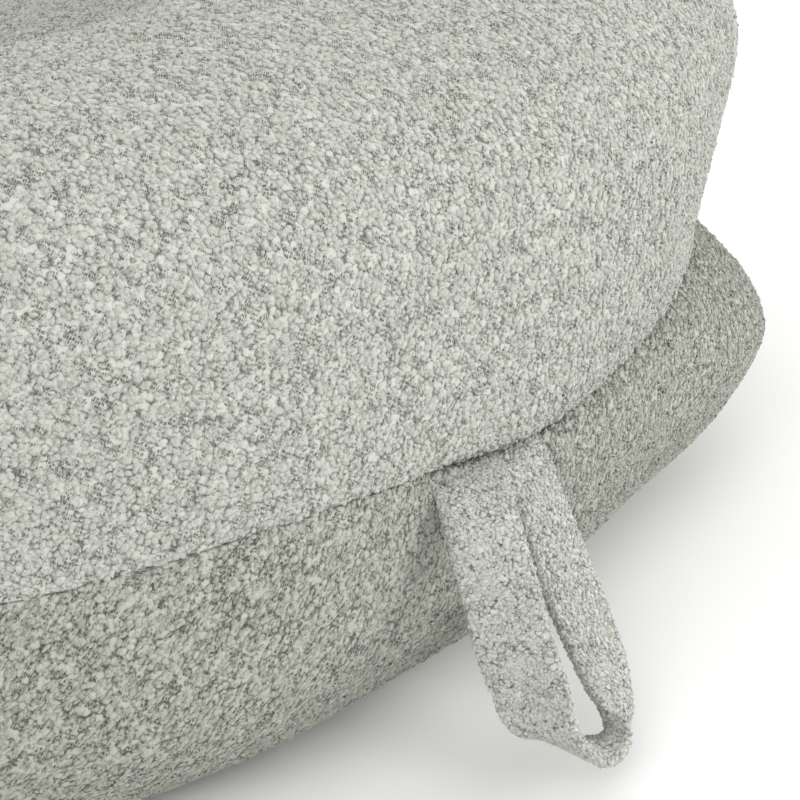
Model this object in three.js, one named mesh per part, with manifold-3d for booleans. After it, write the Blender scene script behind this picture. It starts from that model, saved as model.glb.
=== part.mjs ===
// Giant bean bag in boucle cloth, with a sunken seat and a carry loop sewn into its seam
//
// Millimetres, +Z up. The origin is the centre of the flat patch that the bag rests on.
// The loop is at the front, -Y. The bag is two filled panels that meet at one sewn seam all round.

import * as THREE from "three";
import Module from "manifold-3d";

const wasm = await Module();
wasm.setup();

// Driving dimensions of the filled bag

const LOWER_WIDEST_HEIGHT = 112; // the lower panel is fullest here
const FOOT_INSET = 125; // the resting patch ends this far inside the fullest line
const UPPER_WIDEST_HEIGHT = 303; // the upper panel is fullest here
const RIM_INSET = 164; // from the seam in to the crest of the rim
const HOLLOW_SLOPE_WIDTH = 240; // from the crest in to the hollow's floor
const HOLLOW_FLOOR_HEIGHT = 275;
const HOLLOW_CENTRE_HEIGHT = 266;
const SEAM_GAP = 0.3; // between the two panels, and round the loop's ends

// The bag's form all round, one row for each section that was set by eye. The angle is in degrees from +X
// towards +Y. Reaches are how far the panels swell out past the seam.

const BAG_SECTIONS = [
  { angle: -170, seamRadius: 648, seamHeight: 168, lowerReach: 34, upperReach: 27, rimHeight: 416 },
  { angle: -145, seamRadius: 650, seamHeight: 167, lowerReach: 33, upperReach: 27, rimHeight: 415 },
  { angle: -132, seamRadius: 650, seamHeight: 168, lowerReach: 33, upperReach: 27, rimHeight: 414 },
  { angle: -118, seamRadius: 655, seamHeight: 173, lowerReach: 37, upperReach: 27, rimHeight: 414 },
  { angle: -106, seamRadius: 648, seamHeight: 175, lowerReach: 37, upperReach: 27, rimHeight: 413 },
  { angle: -96, seamRadius: 641, seamHeight: 168, lowerReach: 27, upperReach: 27, rimHeight: 413 },
  { angle: -88, seamRadius: 643, seamHeight: 158, lowerReach: 21, upperReach: 26, rimHeight: 413 },
  { angle: -80, seamRadius: 644, seamHeight: 160, lowerReach: 20, upperReach: 26, rimHeight: 413 },
  { angle: -71, seamRadius: 646, seamHeight: 165, lowerReach: 27, upperReach: 27, rimHeight: 414 },
  { angle: -62, seamRadius: 644, seamHeight: 170, lowerReach: 54, upperReach: 35, rimHeight: 417 },
  { angle: -54, seamRadius: 641, seamHeight: 168, lowerReach: 66, upperReach: 47, rimHeight: 420 },
  { angle: -45, seamRadius: 632, seamHeight: 167, lowerReach: 50, upperReach: 48, rimHeight: 421 },
  { angle: -32, seamRadius: 638, seamHeight: 169, lowerReach: 36, upperReach: 34, rimHeight: 415 },
  { angle: -5, seamRadius: 650, seamHeight: 170, lowerReach: 36, upperReach: 27, rimHeight: 410 },
  { angle: 25, seamRadius: 644, seamHeight: 173, lowerReach: 33, upperReach: 28, rimHeight: 408 },
  { angle: 60, seamRadius: 651, seamHeight: 171, lowerReach: 38, upperReach: 30, rimHeight: 412 },
  { angle: 95, seamRadius: 657, seamHeight: 168, lowerReach: 36, upperReach: 27, rimHeight: 417 },
  { angle: 130, seamRadius: 649, seamHeight: 172, lowerReach: 32, upperReach: 26, rimHeight: 414 },
  { angle: 162, seamRadius: 652, seamHeight: 170, lowerReach: 37, upperReach: 29, rimHeight: 412 },
];

const SEGMENTS_ROUND = 76;
const FOOT_CURVE_STEPS = 8;
const LOWER_CURVE_STEPS = 7;
const UPPER_CURVE_STEPS = 7;
const RIM_CURVE_STEPS = 11;
const HOLLOW_CURVE_STEPS = 8;
const INNER_RING_SHARE = 0.5; // the panels' hidden faces have one ring this far out

// Driving dimensions of the carry loop

const STRAP_WIDTH = 46;
const STRAP_THICKNESS = 11;
const STRAP_EDGE_RADIUS = 5;
const STRAP_EDGE_SHARE = 0.9; // the most of half its thickness that the edge radius takes up where it is thin
const STRAP_EDGE_STEPS = 2;
const STRAP_STEPS_PER_ROW = 3;
const LOOP_ANGLE = -90; // where the loop leaves the seam
const STRAP_HANG = new THREE.Vector3(0, -0.28, -0.96).normalize(); // the strap's width turns round this

// The strap's middle line, one row for each place that was set by eye. Side is to the right along the seam,
// out is away from the bag and drop is downwards, all from the seam. Turn is the way the strap's width
// points, in degrees: 0 along the seam, 90 straight out from the bag and 180 back along the seam. Width and
// thickness are shares of the strap's own: it is thinner where it is pressed into the seam and narrower in
// the bend.

const LOOP_ROWS = [
  { side: -36, out: -16, drop: 0, turn: 0, width: 1.12, thickness: 0.65 },
  { side: -38, out: 3, drop: 0, turn: 6, width: 1.12, thickness: 0.75 },
  { side: -51, out: 27, drop: 1, turn: 20, width: 1.06, thickness: 0.9 },
  { side: -63, out: 42, drop: 12, turn: 32, width: 1.0, thickness: 1.0 },
  { side: -68, out: 53, drop: 30, turn: 40, width: 1.0, thickness: 1.0 },
  { side: -70, out: 62, drop: 50, turn: 46, width: 1.0, thickness: 1.0 },
  { side: -76, out: 73, drop: 68, turn: 50, width: 1.0, thickness: 1.0 },
  { side: -82, out: 87, drop: 85, turn: 56, width: 0.98, thickness: 1.0 },
  { side: -88, out: 101, drop: 100, turn: 72, width: 0.96, thickness: 0.97 },
  { side: -83, out: 111, drop: 114, turn: 102, width: 0.96, thickness: 0.92 },
  { side: -61, out: 116, drop: 130, turn: 134, width: 0.94, thickness: 0.9 },
  { side: -41, out: 116, drop: 131, turn: 150, width: 0.88, thickness: 0.92 },
  { side: -29, out: 110, drop: 124, turn: 160, width: 0.85, thickness: 0.95 },
  { side: -17, out: 98, drop: 115, turn: 170, width: 0.89, thickness: 0.97 },
  { side: -7, out: 83, drop: 102, turn: 179, width: 0.97, thickness: 1.0 },
  { side: -1, out: 68, drop: 85, turn: 183, width: 1.0, thickness: 1.0 },
  { side: 3, out: 54, drop: 66, turn: 185, width: 1.0, thickness: 1.0 },
  { side: 4, out: 41, drop: 42, turn: 184, width: 0.96, thickness: 1.0 },
  { side: 8, out: 26, drop: 18, turn: 181, width: 0.92, thickness: 0.95 },
  { side: 17, out: 3, drop: 1, turn: 180, width: 0.9, thickness: 0.75 },
  { side: 19, out: -16, drop: 0, turn: 180, width: 0.9, thickness: 0.65 },
];

// Smooth values between the rows of a table

// Cubic between two values whose slopes are given for the same unit step
function hermite(start, end, startSlope, endSlope, share) {
  const squared = share * share;
  const cubed = squared * share;
  return (
    (2 * cubed - 3 * squared + 1) * start +
    (cubed - 2 * squared + share) * startSlope +
    (3 * squared - 2 * cubed) * end +
    (cubed - squared) * endSlope
  );
}

// The bag's section at an angle in degrees, from the rows before and after it
function sectionAt(angle) {
  const count = BAG_SECTIONS.length;
  const row = (index) => {
    const turns = Math.floor(index / count);
    const source = BAG_SECTIONS[index - turns * count];
    return { ...source, angle: source.angle + 360 * turns };
  };
  let index = -1;
  while (row(index + 1).angle <= angle) {
    index += 1;
  }
  const [before, from, to, after] = [row(index - 1), row(index), row(index + 1), row(index + 2)];
  const span = to.angle - from.angle;
  const share = (angle - from.angle) / span;
  const section = { angle };
  for (const column of ["seamRadius", "seamHeight", "lowerReach", "upperReach", "rimHeight"]) {
    const startSlope = ((to[column] - before[column]) / (to.angle - before.angle)) * span;
    const endSlope = ((after[column] - from[column]) / (after.angle - from.angle)) * span;
    section[column] = hermite(from[column], to[column], startSlope, endSlope, share);
  }
  return section;
}

// Profiles of the two panels, as points of radius and height from the bottom's middle to the top's

// Quarter-turn angles in equal steps, without the first
function quarterSteps(steps) {
  return Array.from({ length: steps }, (_, step) => ((step + 1) / steps) * (Math.PI / 2));
}

function lowerProfile(section) {
  const { seamRadius, seamHeight, lowerReach } = section;
  const widest = seamRadius + lowerReach;
  const points = [[widest - FOOT_INSET, 0]];
  for (const turn of quarterSteps(FOOT_CURVE_STEPS)) {
    points.push([widest - FOOT_INSET * (1 - Math.sin(turn)), LOWER_WIDEST_HEIGHT * (1 - Math.cos(turn))]);
  }
  const rise = seamHeight - LOWER_WIDEST_HEIGHT;
  for (const turn of quarterSteps(LOWER_CURVE_STEPS)) {
    points.push([seamRadius + lowerReach * Math.cos(turn), LOWER_WIDEST_HEIGHT + rise * Math.sin(turn)]);
  }
  points.push([seamRadius * INNER_RING_SHARE, (seamHeight + MEAN_SEAM_HEIGHT) / 2]);
  return points;
}

function upperProfile(section) {
  const { seamRadius, seamHeight, upperReach, rimHeight } = section;
  const points = [
    [seamRadius * INNER_RING_SHARE, (seamHeight + MEAN_SEAM_HEIGHT) / 2 + SEAM_GAP],
    [seamRadius, seamHeight + SEAM_GAP],
  ];
  const swell = UPPER_WIDEST_HEIGHT - seamHeight;
  for (const turn of quarterSteps(UPPER_CURVE_STEPS)) {
    const height = seamHeight + SEAM_GAP + swell * (1 - Math.cos(turn));
    points.push([seamRadius + upperReach * Math.sin(turn), height]);
  }
  const widest = seamRadius + upperReach;
  const crown = rimHeight - UPPER_WIDEST_HEIGHT - SEAM_GAP;
  for (const turn of quarterSteps(RIM_CURVE_STEPS)) {
    const inward = (upperReach + RIM_INSET) * (1 - Math.cos(turn));
    points.push([widest - inward, UPPER_WIDEST_HEIGHT + SEAM_GAP + crown * Math.sin(turn)]);
  }
  const crest = seamRadius - RIM_INSET;
  for (let step = 1; step <= HOLLOW_CURVE_STEPS; step += 1) {
    const share = step / HOLLOW_CURVE_STEPS;
    const fall = (rimHeight - HOLLOW_FLOOR_HEIGHT) * (0.5 - 0.5 * Math.cos(Math.PI * share));
    points.push([crest - HOLLOW_SLOPE_WIDTH * share, rimHeight - fall]);
  }
  return points;
}

const ROUND_SECTIONS = Array.from({ length: SEGMENTS_ROUND }, (_, step) => {
  return sectionAt(LOOP_ANGLE + (360 / SEGMENTS_ROUND) * step);
});
const MEAN_SEAM_HEIGHT =
  ROUND_SECTIONS.reduce((sum, section) => sum + section.seamHeight, 0) / ROUND_SECTIONS.length;

// Closed bodies from rings of points

// Joins rings of equal length, given from one closed end to the other, and closes both ends at a point
function closedBody(rings, startPoint, endPoint) {
  const count = rings[0].length;
  const positions = [startPoint, ...rings.flat(), endPoint].flatMap((point) => point.toArray());
  const indices = [];
  const vertex = (ring, step) => 1 + ring * count + (step % count);
  const last = 1 + rings.length * count;
  for (let step = 0; step < count; step += 1) {
    indices.push(0, vertex(0, step + 1), vertex(0, step));
    for (let ring = 0; ring + 1 < rings.length; ring += 1) {
      const [a, b] = [vertex(ring, step), vertex(ring, step + 1)];
      const [c, d] = [vertex(ring + 1, step + 1), vertex(ring + 1, step)];
      indices.push(a, b, c, a, c, d);
    }
    indices.push(last, vertex(rings.length - 1, step), vertex(rings.length - 1, step + 1));
  }
  const geometry = new THREE.BufferGeometry();
  geometry.setAttribute("position", new THREE.Float32BufferAttribute(positions, 3));
  geometry.setIndex(indices);
  return geometry;
}

// A panel's body from its profile at every section round the bag
function panelBody(profile, bottomHeight, topHeight) {
  const profiles = ROUND_SECTIONS.map((section) => {
    const turn = THREE.MathUtils.degToRad(section.angle);
    return profile(section).map(([radius, height]) => {
      return new THREE.Vector3(radius * Math.cos(turn), radius * Math.sin(turn), height);
    });
  });
  const rings = profiles[0].map((_, level) => profiles.map((points) => points[level]));
  return closedBody(rings, new THREE.Vector3(0, 0, bottomHeight), new THREE.Vector3(0, 0, topHeight));
}

// The strap: frames along its middle line, and its rounded section swept through them

function loopFrames() {
  const seam = sectionAt(LOOP_ANGLE);
  const origin = new THREE.Vector3(0, -seam.seamRadius, seam.seamHeight);
  const along = new THREE.Vector3(1, 0, 0);
  const outwards = new THREE.Vector3().crossVectors(STRAP_HANG, along);
  const places = LOOP_ROWS.map(({ side, out, drop }) => new THREE.Vector3(side, -out, -drop).add(origin));
  const middleLine = new THREE.CatmullRomCurve3(places, false, "centripetal");
  const forms = LOOP_ROWS.map(({ turn, width, thickness }) => new THREE.Vector3(turn, width, thickness));
  const formLine = new THREE.CatmullRomCurve3(forms, false, "catmullrom");
  const steps = (LOOP_ROWS.length - 1) * STRAP_STEPS_PER_ROW;
  return Array.from({ length: steps + 1 }, (_, step) => {
    const form = formLine.getPoint(step / steps);
    const turn = THREE.MathUtils.degToRad(form.x);
    const tangent = middleLine.getTangent(step / steps);
    const across = along.clone().multiplyScalar(Math.cos(turn)).addScaledVector(outwards, Math.sin(turn));
    across.projectOnPlane(tangent).normalize();
    return {
      point: middleLine.getPoint(step / steps),
      tangent,
      across,
      outward: new THREE.Vector3().crossVectors(tangent, across),
      width: form.y * STRAP_WIDTH,
      thickness: form.z * STRAP_THICKNESS,
    };
  });
}

// One ring of the strap's section, grown by a clearance on every side
function strapRing(frame, clearance) {
  const halfWidth = frame.width / 2 + clearance;
  const halfThickness = frame.thickness / 2 + clearance;
  const radius = Math.min(STRAP_EDGE_RADIUS, halfThickness * STRAP_EDGE_SHARE);
  const corners = [
    [halfWidth - radius, halfThickness - radius],
    [radius - halfWidth, halfThickness - radius],
    [radius - halfWidth, radius - halfThickness],
    [halfWidth - radius, radius - halfThickness],
  ];
  return corners.flatMap(([x, y], corner) => {
    return Array.from({ length: STRAP_EDGE_STEPS + 1 }, (_, step) => {
      const turn = (corner + step / STRAP_EDGE_STEPS) * (Math.PI / 2);
      return frame.point
        .clone()
        .addScaledVector(frame.across, x + radius * Math.cos(turn))
        .addScaledVector(frame.outward, y + radius * Math.sin(turn));
    });
  });
}

function strapBody(clearance) {
  const frames = loopFrames();
  const ends = [frames[0], frames.at(-1)].map((frame, index) => {
    const back = index === 0 ? -clearance : clearance;
    return { ...frame, point: frame.point.clone().addScaledVector(frame.tangent, back) };
  });
  const path = [ends[0], ...frames.slice(1, -1), ends[1]];
  const rings = path.map((frame) => strapRing(frame, clearance));
  return closedBody(rings, ends[0].point, ends[1].point);
}

// Cutting

function toManifold(geometry) {
  return new wasm.Manifold(
    new wasm.Mesh({
      numProp: 3,
      vertProperties: new Float32Array(geometry.attributes.position.array),
      triVerts: new Uint32Array(geometry.index.array),
    }),
  );
}

function toGeometry(manifold) {
  const mesh = manifold.getMesh();
  const geometry = new THREE.BufferGeometry();
  geometry.setAttribute("position", new THREE.Float32BufferAttribute(Array.from(mesh.vertProperties), 3));
  geometry.setIndex(Array.from(mesh.triVerts));
  geometry.computeVertexNormals();
  return geometry;
}

// The pieces

function cloth(color) {
  return new THREE.MeshStandardMaterial({ color, roughness: 0.95, metalness: 0 });
}

function namedMesh(name, geometry, color) {
  const mesh = new THREE.Mesh(geometry, cloth(color));
  mesh.name = name;
  return mesh;
}

// Both panels open to take the strap's ends, with the seam gap round them
const strapRoom = toManifold(strapBody(SEAM_GAP));

function lowerPanel() {
  const filled = toManifold(panelBody(lowerProfile, 0, MEAN_SEAM_HEIGHT));
  return namedMesh("lower_panel", toGeometry(filled.subtract(strapRoom)), "#a6a79d");
}

function upperPanel() {
  const filled = toManifold(panelBody(upperProfile, MEAN_SEAM_HEIGHT + SEAM_GAP, HOLLOW_CENTRE_HEIGHT));
  return namedMesh("upper_panel", toGeometry(filled.subtract(strapRoom)), "#bcbdb5");
}

function carryLoop() {
  return namedMesh("carry_loop", toGeometry(toManifold(strapBody(0))), "#b4b5ad");
}

const group = new THREE.Group();
group.add(lowerPanel(), upperPanel(), carryLoop());

export default group;
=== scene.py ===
"""Giant round bean bag in pale grey boucle cloth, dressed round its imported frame.

The frame is in metres, +Z up. The bag's sizes below are in millimetres. It is two filled panels that meet at
one drawn-in seam, and a carry loop of the same cloth that comes out of that seam at the front, -Y.
"""

from __future__ import annotations

import logging
import math
from dataclasses import dataclass, field
from enum import Enum

import bpy
import numpy as np
from mathutils import Matrix, Vector

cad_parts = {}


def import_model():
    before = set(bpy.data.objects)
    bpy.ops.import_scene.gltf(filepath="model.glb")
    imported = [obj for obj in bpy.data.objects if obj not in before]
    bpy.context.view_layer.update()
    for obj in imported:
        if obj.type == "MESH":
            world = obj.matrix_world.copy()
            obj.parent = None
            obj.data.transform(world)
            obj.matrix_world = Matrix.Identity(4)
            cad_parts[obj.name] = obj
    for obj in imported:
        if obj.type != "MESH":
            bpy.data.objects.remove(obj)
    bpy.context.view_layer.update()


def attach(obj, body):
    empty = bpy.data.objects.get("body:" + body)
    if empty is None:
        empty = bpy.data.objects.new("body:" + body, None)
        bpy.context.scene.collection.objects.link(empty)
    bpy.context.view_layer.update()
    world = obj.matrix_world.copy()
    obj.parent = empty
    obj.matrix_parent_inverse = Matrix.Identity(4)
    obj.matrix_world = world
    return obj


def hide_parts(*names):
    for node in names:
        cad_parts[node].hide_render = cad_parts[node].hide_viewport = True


LOG = logging.getLogger("bean_bag")
MM = 0.001


class MeshPart(Enum):
    """What of a mesh is selected, by its name in Blender."""

    VERTEX = "VERT"
    FACE = "FACE"


def linear(hex_colour: str) -> tuple[float, float, float, float]:
    """Turns an sRGB colour such as "#bcbdb5" to linear.

    Args:
        hex_colour: the colour, with its leading hash.

    Returns:
        Red, green, blue and an alpha of 1, in linear light.
    """
    parts = [int(hex_colour[start : start + 2], 16) / 255 for start in (1, 3, 5)]
    bent = [part / 12.92 if part <= 0.04045 else ((part + 0.055) / 1.055) ** 2.4 for part in parts]
    return (bent[0], bent[1], bent[2], 1.0)


def add_node(
    tree: bpy.types.NodeTree,
    kind: str,
    settings: dict[str, object] | None = None,
    links: dict[int | str, object] | None = None,
) -> bpy.types.Node:
    """Adds one node to a tree.

    Args:
        tree: a material's or a modifier's node tree.
        kind: the node's type name in Blender.
        settings: values for the node's own properties.
        links: for each input, by name or number, a socket to link or a plain value.

    Returns:
        The new node.
    """
    node = tree.nodes.new(kind)
    for name, value in (settings or {}).items():
        setattr(node, name, value)
    for key, value in (links or {}).items():
        if isinstance(value, bpy.types.NodeSocket):
            tree.links.new(value, node.inputs[key])
        else:
            node.inputs[key].default_value = value
    return node


def smooth_step(values: np.ndarray) -> np.ndarray:
    """Eases values from 0 to 1, and holds them outside that range."""
    held = np.clip(values, 0.0, 1.0)
    return held * held * (3 - 2 * held)


def clear_selection() -> None:
    """Deselects every object."""
    bpy.ops.object.select_all(action="DESELECT")


def work_on(piece: bpy.types.Object) -> None:
    """Makes a piece the only selected and the active object."""
    clear_selection()
    piece.select_set(True)
    bpy.context.view_layer.objects.active = piece


def select_only(piece: bpy.types.Object, part: MeshPart, chosen: np.ndarray) -> None:
    """Selects some of a piece's vertices or faces and nothing else, and leaves it in edit mode.

    Args:
        piece: the object.
        part: which of the two are selected.
        chosen: True for each one that is.
    """
    work_on(piece)
    bpy.ops.object.mode_set(mode="EDIT")
    bpy.ops.mesh.select_mode(type=part.value)
    bpy.ops.mesh.select_all(action="DESELECT")
    bpy.ops.object.mode_set(mode="OBJECT")
    listed = piece.data.vertices if part is MeshPart.VERTEX else piece.data.polygons
    listed.foreach_set("select", np.asarray(chosen, bool))
    bpy.ops.object.mode_set(mode="EDIT")


def face_outwards() -> None:
    """Turns the faces of the mesh in edit mode outwards, and leaves that mode."""
    bpy.ops.mesh.select_all(action="SELECT")
    bpy.ops.mesh.normals_make_consistent(inside=False)
    bpy.ops.object.mode_set(mode="OBJECT")


def copy_of(piece: bpy.types.Object, name: str) -> bpy.types.Object:
    """Adds a copy of a piece, with its own mesh.

    Args:
        piece: the object.
        name: the copy's name.

    Returns:
        The copy.
    """
    other = piece.copy()
    other.data = piece.data.copy()
    other.name = other.data.name = name
    bpy.context.scene.collection.objects.link(other)
    return other


def places_of(piece: bpy.types.Object) -> np.ndarray:
    """Gives a piece's vertices in millimetres, one a row."""
    flat = np.zeros(len(piece.data.vertices) * 3, np.float32)
    piece.data.vertices.foreach_get("co", flat)
    return flat.reshape(-1, 3).astype(float) / MM


def normals_of(piece: bpy.types.Object) -> np.ndarray:
    """Gives the surface's direction at a piece's vertices, one a row."""
    flat = np.zeros(len(piece.data.vertices) * 3, np.float32)
    piece.data.vertices.foreach_get("normal", flat)
    return flat.reshape(-1, 3).astype(float)


def put(piece: bpy.types.Object, places: np.ndarray) -> None:
    """Moves a piece's vertices to new places in millimetres."""
    piece.data.vertices.foreach_set("co", (places * MM).astype(np.float32).ravel())
    piece.data.update()


def store(piece: bpy.types.Object, name: str, values: np.ndarray, domain: str = "POINT") -> None:
    """Keeps one number for each vertex, or for each corner of each face, in a named attribute."""
    attribute = piece.data.attributes.get(name) or piece.data.attributes.new(name, "FLOAT", domain)
    attribute.data.foreach_set("value", values.astype(np.float32))


def stored(piece: bpy.types.Object, name: str) -> np.ndarray:
    """Reads the numbers that a named attribute keeps."""
    values = np.zeros(len(piece.data.vertices), np.float32)
    piece.data.attributes[name].data.foreach_get("value", values)
    return values.astype(float)


def angles_of(places: np.ndarray) -> np.ndarray:
    """Gives the angle of each place round the bag, in degrees from +X towards +Y."""
    return np.degrees(np.arctan2(places[:, 1], places[:, 0]))


def put_in_order(piece: bpy.types.Object, kept: tuple[str, ...] = ()) -> None:
    """Lists a mesh's points and faces by their places, so that what is scattered on it is the same each run.

    Args:
        piece: the object, whose mesh is made anew.
        kept: the names of the attributes that go over to the new mesh.
    """
    old = piece.data
    places = places_of(piece)
    order = np.lexsort(np.round(places, 2).T)
    rank = np.empty(len(order), int)
    rank[order] = np.arange(len(order))
    values = {name: stored(piece, name)[order] for name in kept}
    faces = []
    for face in old.polygons:
        corners = [int(rank[vertex]) for vertex in face.vertices]
        first = corners.index(min(corners))
        faces.append(corners[first:] + corners[:first])
    fresh = bpy.data.meshes.new(old.name)
    fresh.from_pydata(places[order] * MM, [], sorted(faces))
    piece.data = fresh
    for name in kept:
        store(piece, name, values[name])
    bpy.data.meshes.remove(old)
    fresh.name = piece.name


def triangle_count(piece: bpy.types.Object) -> int:
    """Counts the triangles that a piece's faces make."""
    return sum(len(face.vertices) - 2 for face in piece.data.polygons)


@dataclass(frozen=True)
class BagSection:
    """The bag's form at one angle.

    The angle is in degrees from +X towards +Y. Reaches are how far the panels swell out past the seam, and
    the fill is the share of that by which the seam's groove is filled out, because the cloth is slack there.
    """

    angle: float
    seam_radius: float
    seam_height: float
    lower_reach: float
    upper_reach: float
    rim_height: float
    groove_fill: float


BAG_SECTIONS = (
    BagSection(-170, 648, 168, 34, 27, 416, 0.4),
    BagSection(-145, 650, 167, 33, 27, 415, 0.6),
    BagSection(-132, 650, 168, 33, 27, 414, 0.8),
    BagSection(-118, 655, 173, 31, 27, 414, 0.86),
    BagSection(-106, 648, 175, 31, 27, 413, 0.84),
    BagSection(-96, 641, 168, 24, 27, 413, 0.6),
    BagSection(-88, 643, 158, 21, 26, 413, 0.4),
    BagSection(-80, 644, 160, 20, 26, 413, 0.42),
    BagSection(-71, 646, 165, 27, 27, 414, 0.42),
    BagSection(-62, 644, 170, 56, 33, 417, 0.45),
    BagSection(-54, 641, 173, 68, 40, 420, 0.28),
    BagSection(-45, 632, 172, 24, 36, 421, 0.2),
    BagSection(-32, 638, 169, 36, 34, 415, 0.15),
    BagSection(-5, 650, 170, 36, 27, 410, 0.3),
    BagSection(25, 644, 173, 33, 28, 408, 0.4),
    BagSection(60, 651, 171, 38, 30, 412, 0.35),
    BagSection(95, 657, 168, 36, 27, 417, 0.4),
    BagSection(130, 649, 172, 32, 26, 414, 0.35),
    BagSection(162, 652, 170, 37, 29, 412, 0.4),
)


@dataclass
class BagForm:
    """The filled bag's outer form: smooth sections all round, and the profile of each panel."""

    sections: tuple[BagSection, ...] = BAG_SECTIONS
    lower_widest_height: float = 112
    foot_inset: float = 125
    upper_widest_height: float = 303
    rim_inset: float = 164
    hollow_slope_width: float = 240
    hollow_floor_height: float = 275
    hollow_centre_height: float = 266
    seam_gap: float = 0.3
    seam_waver: float = 0.45  # how far the stitches stray up and down
    waver_lengths: tuple[float, float] = (5, 11)  # of its short and its long waves
    waver_sway: tuple[float, float] = (1.6, 23)  # how unevenly they come: in radians, and over how far
    mean_seam_height: float = 169
    groove_fullness: float = 0.8  # below 1 the panels swell out sooner from the seam
    crease_fullness: tuple[float, float] = (4.8, 2.3)  # of the upper and lower, in the crease
    filled_rise: float = 0.43  # where the groove is filled out, the seam is this much of it higher
    strap_middle: float = -11  # along X, where the loop's two ends sit in the seam
    strap_half_width: float = 51
    strap_room: float = 2.0  # above and below the seam
    strap_room_ease: float = 6
    pocket_side: float = -69  # along X: the lower panel is pushed in beside the loop's left edge
    pocket_size: tuple[float, float] = (6, 9)
    pocket_depth: float = 9
    crease_middle: float = -56  # degrees: the seam is drawn in tightest here
    crease_spread: float = 17
    crease_tuck: float = 15  # how far the lower panel is drawn in there, below its fullest line
    crease_sag: float = 13  # how much lower its fullest line hangs there
    pucker_pitch: float = 15
    pucker_depth: float = 2.6
    pucker_length: float = 22
    pucker_sways: tuple[tuple[float, float], ...] = ((2.4, 23), (1.3, 9.1))  # as for the stitches
    pucker_least: float = 0.25  # away from the crease, as a share of the most
    lump_waves: tuple[int, ...] = (3, 4, 6, 9, 13, 19)  # how many of each go round the bag
    lump_depth: float = 2.6  # of the broadest waves: finer ones are shallower
    lump_start: float = 0.5  # the lumps begin this far from the seam, as a level
    lump_lean: float = 1.5  # in radians a level
    lump_roll: tuple[float, float] = (1, 2)
    lump_sides: float = 1.4  # a scale on their depth at the bag's sides
    lump_back: float = 0.4  # what is added to that scale at the back, and taken off at the front
    lump_seed: int = 5

    def at(self, angles: np.ndarray) -> dict[str, np.ndarray]:
        """Gives the section at each angle.

        Args:
            angles: degrees from +X towards +Y.

        Returns:
            Each column of the sections, as smooth values between the rows.
        """
        rows = self.sections
        knots = np.array([row.angle for row in rows], float)
        knots = np.concatenate([knots[-2:] - 360, knots, knots[:2] + 360])
        turned = (np.asarray(angles, float) - rows[0].angle) % 360 + rows[0].angle
        index = np.clip(np.searchsorted(knots, turned, side="right") - 1, 1, len(knots) - 3)
        span = knots[index + 1] - knots[index]
        share = (turned - knots[index]) / span
        found = {}
        columns = ("seam_radius", "seam_height", "lower_reach", "upper_reach", "rim_height", "groove_fill")
        for column in columns:
            values = np.array([getattr(row, column) for row in rows], float)
            values = np.concatenate([values[-2:], values, values[:2]])
            start, end = values[index], values[index + 1]
            start_slope = (end - values[index - 1]) / (knots[index + 1] - knots[index - 1]) * span
            end_slope = (values[index + 2] - start) / (knots[index + 2] - knots[index]) * span
            found[column] = (
                (2 * share**3 - 3 * share**2 + 1) * start
                + (share**3 - 2 * share**2 + share) * start_slope
                + (3 * share**2 - 2 * share**3) * end
                + (share**3 - share**2) * end_slope
            )
        along = np.radians(angles) * rows[0].seam_radius
        (short, long), (sway, reach) = self.waver_lengths, self.waver_sway
        waver = np.sin(along / short + sway * np.sin(along / reach)) + np.sin(along / long)
        found["seam_height"] = found["seam_height"] + self.seam_waver * waver
        fill = np.clip(found["groove_fill"], 0, 1) * np.minimum(found["lower_reach"], found["upper_reach"])
        found["seam_radius"] = found["seam_radius"] + fill
        found["seam_height"] = found["seam_height"] + self.filled_rise * fill
        found["lower_reach"] = found["lower_reach"] - fill
        found["upper_reach"] = found["upper_reach"] - fill
        return found

    def strap_opening(self, angles: np.ndarray, radii: np.ndarray, away: np.ndarray) -> np.ndarray:
        """Tells how far a panel stands off the seam's level to let the loop's ends in.

        Args:
            angles: degrees from +X towards +Y.
            radii: the points' distance from the bag's axis.
            away: the points' height above or below the seam.

        Returns:
            Millimetres, for the upper panel upwards and for the lower one downwards.
        """
        turn = np.radians(angles)
        beside = np.abs(radii * np.cos(turn) - self.strap_middle) - self.strap_half_width
        near = smooth_step(1 - beside / self.strap_room_ease) * (np.sin(turn) < 0)
        return self.strap_room * near * np.exp(-np.abs(away) / self.strap_room_ease)

    @staticmethod
    def wrapped(angles: np.ndarray) -> np.ndarray:
        """Brings angles between -180 and 180 degrees."""
        return (np.asarray(angles, float) + 180) % 360 - 180

    def tightness(self, angles: np.ndarray) -> np.ndarray:
        """Tells how tightly the seam is drawn in at each angle, from 0 to 1."""
        off_crease = self.wrapped(angles) - self.crease_middle
        return np.exp(-((off_crease / self.crease_spread) ** 2))

    def fullness(self, angles: np.ndarray, crease: float) -> np.ndarray:
        """Tells how soon a panel swells out from the seam at each angle, given its value in the crease."""
        return self.groove_fullness + (crease - self.groove_fullness) * self.tightness(angles)

    def pocket(self, angles: np.ndarray, radii: np.ndarray, away: np.ndarray) -> np.ndarray:
        """Tells how far the lower panel is pushed in beside the loop's left edge, in millimetres."""
        turn = np.radians(angles)
        beside = (radii * np.cos(turn) - self.pocket_side) / self.pocket_size[0]
        below = away / self.pocket_size[1]
        return self.pocket_depth * np.exp(-(beside**2) - below**2) * (np.sin(turn) < 0)

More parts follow.
